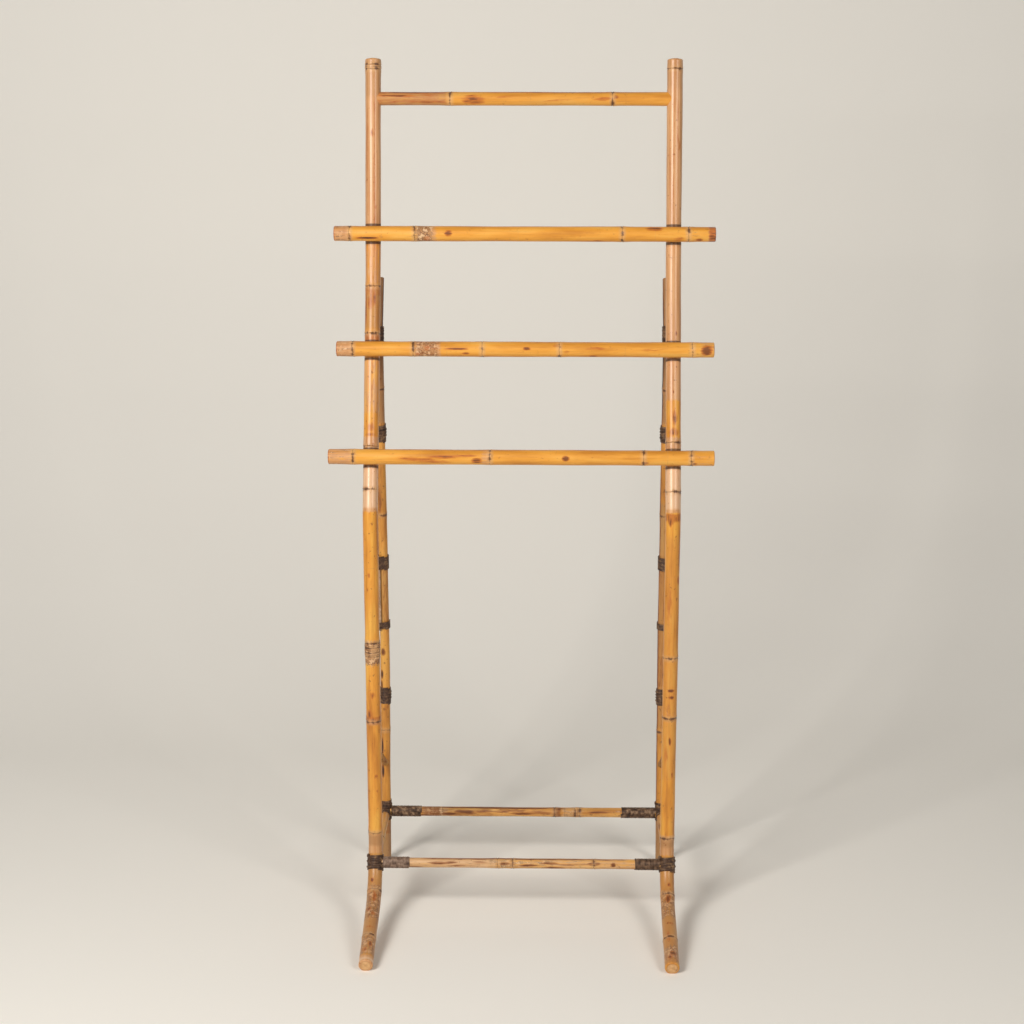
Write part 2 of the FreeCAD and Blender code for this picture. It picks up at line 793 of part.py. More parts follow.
def make_joint_lashings():
    front, rear = [], []
    height = size("stretcher_height")
    for word, side in SIDES.items():
        # Each crossing is on the outer side away from both tenons.
        front_angle = math.radians(225 if side == LEFT else 315)
        rear_angle = math.radians(135 if side == LEFT else 45)
        post_place = Placement(on_post(height) + Vector(side * half_spacing, 0, 0), Rotation())
        rear_spot = Placement(Vector(side * rear_x(height), rear_y, height), rear_place(side).Rotation)
        loop = size("post_radius") + strand_lift + size("joint_slack")
        front.append(strand(f"{word}_front_lashing", joint_points(loop, front_angle, foot_line), post_place))
        rear_loop = size("rear_radius") + strand_lift
        rear.append(strand(f"{word}_rear_lashing", joint_points(rear_loop, rear_angle, upright_line), rear_spot))
    group("front_joint_lashings", front)
    group("rear_joint_lashings", rear)


def make_sleeves():
    """Open spirals of cane round the ends of the front and rear stretchers."""
    height = size("stretcher_height")
    half_sleeve = size("sleeve_turns") * size("sleeve_pitch") / 2 + 4 * size("strand_radius")
    radius = size("stretcher_radius") + strand_lift
    inwards = wrap_depth + size("joint_slack")
    rows = {"front": (half_spacing - size("post_radius") - inwards, on_post(height).y),
            "rear": (rear_x(height) - size("rear_radius") - inwards, rear_y)}
    for row, (shoulder, y) in rows.items():
        sleeves = []
        for word, side in SIDES.items():
            centre = Vector(side * (shoulder - half_sleeve), y, height)
            sleeves.append(strand(f"{word}_{row}_sleeve",
                                  helix_points(radius, size("sleeve_turns"), size("sleeve_pitch")),
                                  along(centre, Vector(side, 0, 0))))
        group(f"{row}_stretcher_sleeves", sleeves)


# Places of the bindings on the straight runs and bends of the rear leg's line.
REAR_RUNS = ("upright", "knee", "leaning", "head_bend", "head")
BINDING_RUNS = {"low_binding": "upright", "high_binding": "leaning"}
BINDING_SHARES = {"low_binding": 0.871, "high_binding": 0.725}
SPLINT_SHARE = 0.166
HEAD_LASHING_SHARE = 0.3


def rear_run(name):
    return dict(zip(REAR_RUNS, rear_path().Edges))[name]


def binding_line(binding):
    """Point and direction of the rear leg's line at the middle of a binding."""
    if binding in BINDING_SHARES:
        return on_edge(rear_run(BINDING_RUNS[binding]), BINDING_SHARES[binding])
    middle, direction = on_edge(rear_run("leaning"), SPLINT_SHARE)
    half_binding = size("strand_pitch") * size(f"{binding}_turns") / 2
    reach = size("splint_length") / 2 - size("splint_over") - half_binding
    return middle + direction * (reach if binding == "splint_high" else -reach), direction


def on_leg(side, point, direction):
    """A place on a rear leg's line, with +Z along the leg."""
    lean_angle = -math.degrees(math.atan2(direction.y, direction.z))
    return rear_place(side).multiply(Placement(point, Rotation(Vector(1, 0, 0), lean_angle)))


def splint_offset(side):
    """From the rear leg's axis to the splint's, on the leg's outer front, in the leg's own plane."""
    apart = size("rear_radius") + size("splint_radius") + size("splint_gap")
    bearing = math.radians(size("splint_bearing_angle"))
    return Vector(side * apart * math.sin(bearing), -apart * math.cos(bearing), 0)


def make_leg_bindings():
    """Bindings round the rear legs, two of them round a splint as well."""
    radius = size("rear_radius") + strand_lift
    splint_loop = size("splint_radius") + strand_lift
    for word, side in SIDES.items():
        bindings = []
        for binding in ("low_binding", "splint_low", "splint_high", "high_binding"):
            turns = size(f"{binding}_turns")
            if binding.startswith("splint"):
                points = belt_points(radius, splint_loop, splint_offset(side), turns, size("strand_pitch"))
            else:
                points = helix_points(radius, turns, size("strand_pitch"))
            bindings.append(strand(f"{word}_{binding}", points, on_leg(side, *binding_line(binding))))
        group(f"{word}_leg_bindings", bindings)


def make_splints():
    splints = []
    middle, direction = on_edge(rear_run("leaning"), SPLINT_SHARE)
    low = middle - direction * (size("splint_length") / 2)
    for word, side in SIDES.items():
        place = on_leg(side, low, direction).multiply(Placement(splint_offset(side), Rotation()))
        splints.append(cylinder(f"{word}_splint", "sizes.splint_radius", "sizes.splint_length", place))
    group("rear_leg_splints", splints)


def make_head_lashings():
    """Whippings round the bends of the rear legs, just below where their heads lie on the posts."""
    radius = size("rear_radius") + strand_lift
    bend = rear_run("head_bend")
    lashings = []
    for word, side in SIDES.items():
        points = helix_points(radius, size("head_lashing_turns"), size("strand_pitch"))
        place = on_leg(side, *on_edge(bend, HEAD_LASHING_SHARE))
        lashings.append(strand(f"{word}_head_lashing", points, place))
    group("head_lashings", lashings)


def check_and_write():
    doc.recompute()
    for thing in doc.Objects:
        bad = {"Invalid", "Error"} & set(thing.State)
        if bad:
            raise RuntimeError(f"{thing.Label}: {sorted(bad)}")
    os.makedirs("parts", exist_ok=True)
    for part in parts:
        if part.Shape.isNull() or not part.Shape.isValid():
            raise RuntimeError(f"{part.Label}: shape is null or not valid")
        part.Shape.exportStep(f"parts/{part.Label}.step")
        print(f"{part.Label}: {len(part.Shape.Solids)} solids, {part.Shape.Volume / 1000:.1f} cm3")


for word, side in SIDES.items():
    make_post(word, side)
    make_rear_leg(word, side)
for word in RAIL_NODE_SHARES:
    make_towel_rail(word)
make_top_rail()
make_stretchers()
for word, side in SIDES.items():
    make_brace(word, side)
make_splints()
make_post_plugs()
make_rail_fittings()
make_head_pins()
make_joint_lashings()
make_sleeves()
make_leg_bindings()
make_head_lashings()
check_and_write()
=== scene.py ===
import bpy
import bmesh
import math
from mathutils import Matrix, Vector


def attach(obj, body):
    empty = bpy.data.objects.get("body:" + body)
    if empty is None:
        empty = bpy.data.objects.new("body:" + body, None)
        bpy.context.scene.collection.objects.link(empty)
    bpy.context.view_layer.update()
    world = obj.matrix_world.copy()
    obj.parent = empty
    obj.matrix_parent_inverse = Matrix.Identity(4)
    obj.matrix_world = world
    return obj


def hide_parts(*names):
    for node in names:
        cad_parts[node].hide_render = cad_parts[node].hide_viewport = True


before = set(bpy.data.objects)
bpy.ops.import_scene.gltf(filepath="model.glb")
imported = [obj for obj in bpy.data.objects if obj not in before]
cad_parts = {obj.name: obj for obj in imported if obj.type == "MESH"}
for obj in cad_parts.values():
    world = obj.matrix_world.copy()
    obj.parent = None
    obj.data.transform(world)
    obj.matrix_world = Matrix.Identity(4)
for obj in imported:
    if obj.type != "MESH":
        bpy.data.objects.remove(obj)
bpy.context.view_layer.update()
mm = 0.001
print("frame loaded:", len(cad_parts), "nodes")

# shared places, in mm, as in the part's source
stand = {"halfSpacing": 250.0, "legY": 0.0, "rearY": 222.0, "stretcherZ": 97.0}
post = {"radius": 12.5, "bendZ": 717.0, "bendR": 70.0, "lean": 19.7, "crestZ": 1089.0, "crestR": 600.0,
        "crestLean": 10.8, "topZ": 1440.0, "footR": 100.0, "footTurn": 78.0, "toe": 152.0, "wear": 2.5}
rear = {"radius": 8.5, "inset": 8.5, "topZ": 1083.0, "kneeZ": 400.0, "kneeR": 350.0, "headRun": 100.0,
        "headR": 90.0, "gap": 0.5, "footGap": 0.2}
rail = {"heights": {"upper": 1156, "middle": 969, "lower": 800}, "radius": 12.6, "saddle": 1.5, "gap": 0.2}
bothSides = (("left", -1), ("right", 1))
forward = Vector((0, -1, 0))
upward = Vector((0, 0, 1))


def hexLinear(code):  # sRGB hex to linear
    out = []
    for i in (1, 3, 5):
        c = int(code[i:i + 2], 16) / 255
        out.append(c / 12.92 if c <= 0.04045 else ((c + 0.055) / 1.055) ** 2.4)
    return (*out, 1.0)


def addNode(tree, kind, inputs=None, out=0, stops=(), **settings):
    # one node with its settings: an input is a socket to link, a value or a hex colour
    made = tree.nodes.new(kind)
    for key, value in settings.items():
        setattr(made, key, value)
    for key, value in (inputs or {}).items():
        if isinstance(value, bpy.types.NodeSocket):
            tree.links.new(value, made.inputs[key])
        else:
            made.inputs[key].default_value = hexLinear(value) if isinstance(value, str) else value
    for i, (spot, code) in enumerate(stops):
        bar = made.color_ramp.elements
        element = bar[i] if i < len(bar) else bar.new(spot)
        element.position = spot
        element.color = hexLinear(code)
    return made.outputs[out] if len(made.outputs) else made


def emptyMaterial(name):
    mat = bpy.data.materials.new(name)
    mat.use_nodes = True
    mat.node_tree.nodes.clear()
    return mat, mat.node_tree


# marks that a pole carries on its points
markNames = ("nodeGap", "burn", "mottle", "blushAndSheen", "ageAndShade", "grime", "cutEnd")
# bamboo's patterns in mm: across the pole, along it
# real fibres are under 1 mm wide: drawn as 4 mm bundles so that they show
bambooPatterns = {"fibre": (4.0, 160), "cloud": (17, 120), "streak": (2.8, 20), "fleck": (2.4, 38),
                  "speck": (6.0, 8.0), "vein": (8.5, 5.5), "ringBreak": (11, 25)}
# colours that all the poles share
markColours = {"scorchAndShade": "#66330f", "charAndShade": "#2a150a", "stain": "#8f5524", "scar": "#4a2a12",
               "grime": "#3a2213", "fibreDark": "#d9cdbb", "fibreClear": "#ffffff", "fibrePale": "#f4ead8",
               "endDeep": "#bd8c58", "endPale": "#dcae79"}
# a joint's marks, in mm from its scar: where each starts and where it is full
jointMarks = {"halo": (8.0, 1.5), "stain": (6.5, 1.0), "scar": (1.0, 0.3), "uneven": 5.0}
# how strong they are, and what the dark stretches of a joint add to its scar
jointStrengths = {"halo": 0.45, "stain": 0.6, "scar": 0.42, "scarAdded": 0.45, "widthAdded": 1.9}
# distance of the noise from its middle where a vein starts and where it is full
veinEdge = {"middle": 0.5, "start": 0.045, "full": 0.012}


def lacqueredBamboo(name, tone):
    # scorched bamboo culm under old clear lacquer: long fibres, dark joints, burn marks, glossy coat, and
    # painted sheen, a painted highlight and painted shade lines
    mat, tree = emptyMaterial(name)
    place = addNode(tree, "ShaderNodeAttribute", out="Vector", attribute_name="straight")
    marks = {key: addNode(tree, "ShaderNodeAttribute", out="Fac", attribute_name=key) for key in markNames}
    noises = {}
    for key, (across, along) in bambooPatterns.items():
        size = (1000 / across, 1000 / across, 1000 / along)
        spot = addNode(tree, "ShaderNodeMapping", {"Vector": place, "Scale": size})
        noises[key] = addNode(tree, "ShaderNodeTexNoise",
                              {"Vector": spot, "Scale": 1.0, "Detail": 4.0, "Roughness": 0.6}, "Fac")
    # mask: pattern, its gain, the mark added to it, where it starts, where it is full, strength
    maskRows = {
        # blush and sheen: a pinkish tint of the culm in places, and on the posts painted sheen
        "blushAndSheen": ("streak", 1.1, "blushAndSheen", 0.85, 1.25, 0.88),
        # painted highlight: paler still where the blush and sheen mark runs past 1.2, at the post bends and a
        # toe tip
        "paintedHighlight": ("streak", 0.3, "blushAndSheen", 1.2, 1.75, 0.4),
        # age and shade: real ageing, and on the upper rear legs painted shade
        "ageAndShade": ("cloud", 0.7, "ageAndShade", 0.4, 1.25, 0.8),
        "fleck": ("fleck", 1.0, None, 0.6, 0.74, tone["fleck"]),
        "speck": ("speck", 1.0, None, 0.625, 0.69, tone["speck"]),
        # amber, scorch and char: real burn marks, and also painted shade lines along rail tops and on the
        # rear legs
        "amberAndShade": ("streak", 1.33, "burn", 0.9, 1.35, 0.8),
        "scorchAndShade": ("streak", 1.6, "burn", 1.45, 1.75, 0.85),
        "charAndShade": ("streak", 0.8, "burn", 1.6, 1.85, 0.92),
        "worn": ("streak", 1.4, "mottle", 1.05, 1.5, 0.92),
        # painted shade: dark bands on the posts just above and below each towel rail
        "grime": ("streak", 0.3, "grime", 0.3, 0.9, 0.85),
        "ringBreak": ("ringBreak", 1.0, None, 0.44, 0.6, 1.0),
    }
    masks = {}
    for key, (pattern, gain, mark, low, high, strength) in maskRows.items():
        total = addNode(tree, "ShaderNodeMath",
                        {0: noises[pattern], 1: gain, 2: marks[mark] if mark else 0.0},
                        operation="MULTIPLY_ADD")
        masks[key] = addNode(tree, "ShaderNodeMapRange",
                             {"Value": total, "From Min": low, "From Max": high, "To Max": strength},
                             interpolation_type="SMOOTHSTEP")
    # dark veins between the pale islands of a worn patch
    offVein = addNode(tree, "ShaderNodeMath", {0: noises["vein"], 1: veinEdge["middle"]},
                      operation="SUBTRACT")
    offVein = addNode(tree, "ShaderNodeMath", {0: offVein}, operation="ABSOLUTE")
    vein = addNode(tree, "ShaderNodeMapRange",
                   {"Value": offVein, "From Min": veinEdge["start"], "From Max": veinEdge["full"]},
                   interpolation_type="SMOOTHSTEP")
    masks["vein"] = addNode(tree, "ShaderNodeMath", {0: vein, 1: masks["worn"]}, operation="MULTIPLY")
    # joint: distance from its scar, a little uneven, with dark stretches
    dark = masks["ringBreak"]
    uneven = addNode(tree, "ShaderNodeMath",
                     {0: noises["vein"], 1: jointMarks["uneven"], 2: -jointMarks["uneven"] / 2},
                     operation="MULTIPLY_ADD")
    gap = addNode(tree, "ShaderNodeMath", {0: marks["nodeGap"], 1: uneven}, operation="ADD")
    gap = addNode(tree, "ShaderNodeMath", {0: gap}, operation="ABSOLUTE")
    wide = addNode(tree, "ShaderNodeMath", {0: dark, 1: jointStrengths["widthAdded"], 2: 1.0},
                   operation="MULTIPLY_ADD")
    thin = addNode(tree, "ShaderNodeMath", {0: gap, 1: wide}, operation="DIVIDE")
    depth = addNode(tree, "ShaderNodeMath",
                    {0: dark, 1: jointStrengths["scarAdded"], 2: jointStrengths["scar"]},
                    operation="MULTIPLY_ADD")
    stained = addNode(tree, "ShaderNodeMath", {0: dark, 1: jointStrengths["stain"]}, operation="MULTIPLY")
    for key, value, weight in (("halo", gap, jointStrengths["halo"]), ("stain", gap, stained),
                               ("scar", thin, depth)):
        far, near = jointMarks[key]
        ring = addNode(tree, "ShaderNodeMapRange", {"Value": value, "From Min": far, "From Max": near},
                       interpolation_type="SMOOTHSTEP")
        masks[key] = addNode(tree, "ShaderNodeMath", {0: ring, 1: weight}, operation="MULTIPLY")

    colour = addNode(tree, "ShaderNodeValToRGB", {"Fac": noises["cloud"]},
                     stops=((0.3, tone["deep"]), (0.5, tone["mid"]), (0.68, tone["pale"])))
    fibres = addNode(tree, "ShaderNodeValToRGB", {"Fac": noises["fibre"]},
                     stops=((0.3, markColours["fibreDark"]), (0.5, markColours["fibreClear"]),
                            (0.7, markColours["fibrePale"])))
    blushAndSheenRamp = addNode(tree, "ShaderNodeValToRGB", {"Fac": noises["fibre"]},
                      stops=((0.33, tone["blushAndSheenDeep"]), (0.66, tone["blushAndSheenPale"])))
    islands = addNode(tree, "ShaderNodeValToRGB", {"Fac": noises["vein"]},
                      stops=((0.32, tone["wornDark"]), (0.44, tone["worn"]), (0.6, tone["wornPale"])))
    endGrain = addNode(tree, "ShaderNodeValToRGB", {"Fac": noises["vein"]},
                       stops=((0.35, markColours["endDeep"]), (0.6, markColours["endPale"])))
    # paints from the lowest up: mask, colour, way of mixing
    paints = (
        (tone["fibre"], fibres, "MULTIPLY"),
        # pinkish tint, on the posts painted sheen
        (masks["blushAndSheen"], blushAndSheenRamp, "MIX"),
        # painted highlight
        (masks["paintedHighlight"], tone["paintedHighlight"], "MIX"),
        # real ageing, and painted shade on the upper rear legs
        (masks["ageAndShade"], tone["agedAndShaded"], "MIX"),
        (masks["fleck"], tone["fleckColour"], "MIX"),
        (masks["speck"], tone["speckColour"], "MIX"),
        (masks["worn"], islands, "MIX"),
        (masks["vein"], tone["wornDark"], "MIX"),
        # burn colours, also used for painted shade lines
        (masks["amberAndShade"], tone["amberAndShade"], "MIX"),
        (masks["scorchAndShade"], markColours["scorchAndShade"], "MIX"),
        (masks["charAndShade"], markColours["charAndShade"], "MIX"),
        (masks["halo"], tone["jointPale"], "MIX"),
        (masks["stain"], markColours["stain"], "MIX"),
        (masks["scar"], markColours["scar"], "MIX"),
        # painted contact shade next to each towel rail
        (masks["grime"], markColours["grime"], "MIX"),
        (marks["cutEnd"], endGrain, "MIX"),
    )
    for mask, paint, mode in paints:
        colour = addNode(tree, "ShaderNodeMix", {0: mask, 6: colour, 7: paint}, 2,
                         data_type="RGBA", blend_type=mode)

    # clouds in the gloss, and what each mark adds to the roughness
    rough = addNode(tree, "ShaderNodeMath", {0: noises["cloud"], 1: 0.16, 2: tone["rough"]},
                    operation="MULTIPLY_ADD")
    for key, gain in (("mottle", 0.2), ("cutEnd", 0.3), ("grime", 0.4), ("blushAndSheen", -0.06)):
        rough = addNode(tree, "ShaderNodeMath", {0: marks[key], 1: gain, 2: rough}, operation="MULTIPLY_ADD")
    # fibres stand up a little, scars, veins and char are sunk
    height = addNode(tree, "ShaderNodeMath", {0: noises["fibre"], 1: 0.25}, operation="MULTIPLY")
    for key, gain in (("scar", -1.6), ("vein", -0.5), ("charAndShade", -0.8)):
        height = addNode(tree, "ShaderNodeMath", {0: masks[key], 1: gain, 2: height},
                         operation="MULTIPLY_ADD")
    bump = addNode(tree, "ShaderNodeBump", {"Height": height, "Strength": 0.35, "Distance": 0.0006})
    shader = addNode(tree, "ShaderNodeBsdfPrincipled",
                     {"Base Color": colour, "Roughness": rough, "Normal": bump, "IOR": 1.5,
                      "Specular IOR Level": tone["gloss"], "Coat Weight": tone["coat"],
                      "Coat Roughness": 0.32})
    addNode(tree, "ShaderNodeOutputMaterial", {"Surface": shader})
    return mat


# split cane's patterns in mm: tone along the strip, fibre width and length, blotches
canePatterns = {"turn": 45, "fibre": (0.4, 17), "blotch": 6}
fibreColours = {"deep": "#9c9084", "clear": "#ffffff", "share": 0.6}


def splitCane(name, tone):
    # flat split cane, stained dark and varnished: each turn a little different, fine fibres along it
    mat, tree = emptyMaterial(name)
    place = addNode(tree, "ShaderNodeAttribute", out="Vector", attribute_name="straight")
    turnSpot = addNode(tree, "ShaderNodeMapping",
                       {"Vector": place, "Scale": (0, 0, 1000 / canePatterns["turn"])})
    turnTone = addNode(tree, "ShaderNodeTexNoise", {"Vector": turnSpot, "Scale": 1.0, "Detail": 2.0}, "Fac")
    across, along = canePatterns["fibre"]
    fibreSpot = addNode(tree, "ShaderNodeMapping",
                        {"Vector": place, "Scale": (1000 / across, 1000 / across, 1000 / along)})
    fibre = addNode(tree, "ShaderNodeTexNoise", {"Vector": fibreSpot, "Scale": 1.0, "Detail": 3.0}, "Fac")
    spot = addNode(tree, "ShaderNodeTexCoord", out="Object")
    blotch = addNode(tree, "ShaderNodeTexNoise",
                     {"Vector": spot, "Scale": 1000 / canePatterns["blotch"], "Detail": 3.0}, "Fac")
    mixed = addNode(tree, "ShaderNodeMix", {0: tone["blotch"], 2: turnTone, 3: blotch}, data_type="FLOAT")
    stain = addNode(tree, "ShaderNodeValToRGB", {"Fac": mixed},
                    stops=((0.36, tone["deep"]), (0.5, tone["mid"]), (0.64, tone["pale"])))
    grain = addNode(tree, "ShaderNodeValToRGB", {"Fac": fibre},
                    stops=((0.35, fibreColours["deep"]), (0.6, fibreColours["clear"])))
    colour = addNode(tree, "ShaderNodeMix", {0: fibreColours["share"], 6: stain, 7: grain}, 2,
                     data_type="RGBA", blend_type="MULTIPLY")
    bump = addNode(tree, "ShaderNodeBump", {"Height": fibre, "Strength": 0.4, "Distance": 0.0003})
    shader = addNode(tree, "ShaderNodeBsdfPrincipled",
                     {"Base Color": colour, "Normal": bump, "Roughness": tone["rough"], "IOR": 1.5,
                      "Specular IOR Level": 0.25})
    addNode(tree, "ShaderNodeOutputMaterial", {"Surface": shader})
    return mat


# pale turned wood of the dowels, dull and finely pored
dowelTone = {"poreMm": 2.5, "deep": "#9a7347", "pale": "#c9a06c", "rough": 0.6}
dowelWood, dowelTree = emptyMaterial("dowelWood")
spot = addNode(dowelTree, "ShaderNodeTexCoord", out="Object")
pores = addNode(dowelTree, "ShaderNodeTexNoise",
                {"Vector": spot, "Scale": 1000 / dowelTone["poreMm"], "Detail": 3.0}, "Fac")
grain = addNode(dowelTree, "ShaderNodeValToRGB", {"Fac": pores},
                stops=((0.35, dowelTone["deep"]), (0.65, dowelTone["pale"])))
shader = addNode(dowelTree, "ShaderNodeBsdfPrincipled",
                 {"Base Color": grain, "Roughness": dowelTone["rough"]})
addNode(dowelTree, "ShaderNodeOutputMaterial", {"Surface": shader})

# blushAndSheen colours: a pinkish tint, on the posts painted sheen; paintedHighlight: a paler painted
# highlight
bambooTones = {
    "postBamboo": {"deep": "#b8721f", "mid": "#dd9634", "pale": "#eab04a", "blushAndSheenDeep": "#b87c4c",
                   "blushAndSheenPale": "#dcae80", "paintedHighlight": "#f0d2b2", "agedAndShaded": "#aa7a4a", "amberAndShade": "#b26220",
                   "worn": "#b08054", "wornDark": "#5c341c", "wornPale": "#d4ac84", "jointPale": "#d9ab76",
                   "fleckColour": "#a8642a", "speckColour": "#8e5122", "fibre": 0.6, "fleck": 0.5,
                   "speck": 0.7, "rough": 0.32, "gloss": 0.4, "coat": 0.3},
    "railBamboo": {"deep": "#cc862a", "mid": "#e6a03a", "pale": "#eeb250", "blushAndSheenDeep": "#b87c4c",
                   "blushAndSheenPale": "#d8a474", "paintedHighlight": "#e6c49c", "agedAndShaded": "#a2764c", "amberAndShade": "#b8621c",
                   "worn": "#b98858", "wornDark": "#673a1c", "wornPale": "#e2be94", "jointPale": "#dcb07c",
                   "fleckColour": "#b06c28", "speckColour": "#9c5a24", "fibre": 0.45, "fleck": 0.45,
                   "speck": 0.4, "rough": 0.36, "gloss": 0.4, "coat": 0.22},
    "legBamboo": {"deep": "#a86a26", "mid": "#d0903c", "pale": "#dfa850", "blushAndSheenDeep": "#9a7254",
                  "blushAndSheenPale": "#c8a483", "paintedHighlight": "#d8bc9c", "agedAndShaded": "#8e6c4c", "amberAndShade": "#8e5220",
                  "worn": "#96714e", "wornDark": "#543620", "wornPale": "#bd9670", "jointPale": "#c69a68",
                  "fleckColour": "#86502a", "speckColour": "#6a3d1c", "fibre": 0.55, "fleck": 0.6,
                  "speck": 0.6, "rough": 0.36, "gloss": 0.4, "coat": 0.22},
}
legTone = bambooTones["legBamboo"]
bambooTones["braceBamboo"] = dict(legTone, deep="#8a5c2c", mid="#b07c3e", pale="#c49450",
                                  rough=0.62, gloss=0.15, coat=0.0)  # unlacquered
bambooTones["stretcherBamboo"] = dict(legTone, deep="#ba7e38", mid="#dea456", pale="#eabc6e",
                                      blushAndSheenDeep="#c09264", blushAndSheenPale="#e4be94", agedAndShaded="#a8885e",
                                      worn="#b28c62", wornPale="#dcba92")
caneTones = {
    "darkCane": {"deep": "#33251c", "mid": "#5c4436", "pale": "#9a7a58", "rough": 0.42, "blotch": 0.5},
    "greyCane": {"deep": "#54423a", "mid": "#8c7464", "pale": "#b29a88", "rough": 0.5, "blotch": 0.6},
    "brownCane": {"deep": "#3c2c22", "mid": "#6c5443", "pale": "#97795f", "rough": 0.48, "blotch": 0.6},
    "mottledCane": {"deep": "#3a2a20", "mid": "#68503f", "pale": "#a4876b", "rough": 0.45, "blotch": 0.8},
    "paleCane": {"deep": "#94765c", "mid": "#bb9c80", "pale": "#d2b69c", "rough": 0.4, "blotch": 0.5},
}
bamboo = {name: lacqueredBamboo(name, tone) for name, tone in bambooTones.items()}
cane = {name: splitCane(name, tone) for name, tone in caneTones.items()}
print("materials made")


# lines that poles follow, in mm: straight runs and arcs, one after the other
def straightLine(start, end):
    reach = end - start
    return [{"start": start.copy(), "way": reach.normalized(), "length": reach.length}]


def bentLine(corners, radii):
    line = []
    start = corners[0]
    for before, corner, after, radius in zip(corners, corners[1:], corners[2:], radii):
        into = (corner - before).normalized()
        out = (after - corner).normalized()
        angle = into.angle(out)
        reach = radius * math.tan(angle / 2)
        first = corner - into * reach
        line.append({"start": start, "way": into, "length": (first - start).length})
        axis = into.cross(out).normalized()
        line.append({"start": first, "way": into, "length": radius * angle, "axis": axis, "radius": radius,
                     "centre": first + axis.cross(into) * radius})
        start = corner + out * reach
    return line + straightLine(start, corners[-1])


def lineLength(line):
    return sum(run["length"] for run in line)


def pointAt(line, s):  # the point at a distance along a line, and its way there
    for run in line:
        if s <= run["length"] or run is line[-1]:
            break
        s -= run["length"]
    if "radius" not in run:
        return run["start"] + run["way"] * s, run["way"]
    turned = Matrix.Rotation(s / run["radius"], 3, run["axis"])
    return run["centre"] + turned @ (run["start"] - run["centre"]), turned @ run["way"]


def alongAtZ(line, z):  # distance along a rising line where it reaches a height
    low, high = 0.0, lineLength(line)
    for _ in range(40):  # halvings
        half = (low + high) / 2
        if pointAt(line, half)[0].z < z:
            low = half
        else:
            high = half
    return low


def sectionFrame(point, way, front):  # section axes: first to the front, second to its side, third along
    first = (front - way * front.dot(way)).normalized()
    second = way.cross(first)
    return Matrix(((first.x, second.x, way.x, point.x), (first.y, second.y, way.y, point.y),
                   (first.z, second.z, way.z, point.z), (0, 0, 0, 1)))


# a tube of rings in an empty bmesh: a unit cylinder, subdivided along it, each ring set on its station
def ringTube(bm, stations, sides):
    bmesh.ops.create_cone(bm, cap_ends=False, segments=sides, radius1=1, radius2=1, depth=1)
    walls = [e for e in bm.edges if abs(e.verts[0].co.z - e.verts[1].co.z) > 0.5]
    count = len(stations) - 1
    bmesh.ops.subdivide_edges(bm, edges=walls, cuts=count - 1)
    rings = [[] for _ in stations]
    for v in bm.verts:
        rings[min(count, max(0, round((v.co.z + 0.5) * count)))].append(v)
    for ring, station in zip(rings, stations):
        for v in ring:
            angle = math.atan2(v.co.y, v.co.x)
            local = Vector((math.cos(angle) * station["a"], math.sin(angle) * station["b"], 0))
            v.co = station["frame"] @ local * mm
    return rings


def markLayers(bm):
    layers = {name: bm.verts.layers.float.new(name) for name in markNames}
    layers["straight"] = bm.verts.layers.float_vector.new("straight")
    return layers


def addInto(bm, part):  # lays one mesh's tubes into another
    held = bpy.data.meshes.new("held")
    part.to_mesh(held)
    part.free()
    bm.from_mesh(held)
    bpy.data.meshes.remove(held)


def finishPiece(name, bm, material, body="root"):
    bmesh.ops.recalc_face_normals(bm, faces=bm.faces)
    mesh = bpy.data.meshes.new(name)
    bm.to_mesh(mesh)
    bm.free()
    for polygon in mesh.polygons:
        polygon.use_smooth = polygon.loop_total < 5  # caps stay flat
    piece = bpy.data.objects.new(name, mesh)
    bpy.context.collection.objects.link(piece)
    for one in material if isinstance(material, list) else [material]:
        mesh.materials.append(one)
    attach(piece, body)
    return piece


# how far each mark of a pole fades past its zone, in mm
zoneFades = {"burn": 4.0, "mottle": 14.0, "blushAndSheen": 10.0, "ageAndShade": 12.0, "grime": 2.0}


def zoneShare(s, zones, fade):
    share = 0.0
    for low, high, amount in zones:
        rising = min(1.0, max(0.0, (s - low) / fade + 0.5))
        falling = min(1.0, max(0.0, (high - s) / fade + 0.5))
        share = max(share, amount * (rising * falling))
    return share


# burns and painted shade lines: their own length and width, as shares of what their row says, and their
# height in the middle
burnShape = {"length": 0.65, "width": 0.85, "peak": 1.2}


def blobShare(s, angle, radius, blobs):
    share = 0.0
    for at, side, length, width, amount in blobs:
        across = (math.degrees(angle) - side + 180) % 360 - 180
        off = ((s - at) / (burnShape["length"] * length)) ** 2
        off += (math.radians(across) * radius / (burnShape["width"] * width)) ** 2
        share = max(share, amount * max(0.0, burnShape["peak"] - off))
    return share


def frontFor(way):  # a line that runs from front to back takes its section from above
    return forward if abs(way.y) < 0.9 else upward


def openEdges(bm, ring):  # the free edges of a tube's end
    members = set(ring)
    return [e for e in bm.edges
            if e.verts[0] in members and e.verts[1] in members and len(e.link_faces) == 1]


# a culm in mm: distance between its rings, more rings at joints and ends
# waves: depth, reach, share of the seed; joint forms: height, width and place of swelling, ridge and scar
culm = {"ringStep": 2.6, "sides": 44, "thinSides": 32, "endClear": 0.5, "endRings": (0.1, 0.3, 0.6, 1.0),
        "jointClear": 5.2, "jointRings": (0.35, 0.9, 1.7, 2.9, 4.6), "jointReach": 40.0,
        "jointForms": ((0.45, 9.0, 0.0), (0.3, 1.1, 1.6), (-0.5, 0.7, 0.0)),
        "waves": ((0.16, 47, 1), (0.1, 19, 2)), "farGap": 60.0, "seedStep": 3.7}
# a cut end in mm: the rim stands out a little, and the plug's seat is a step down
cutEnd = {"rim": 0.66, "rimOut": 0.05, "seatShare": 0.985, "seatDepth": 6.0}
poleCount = [0]


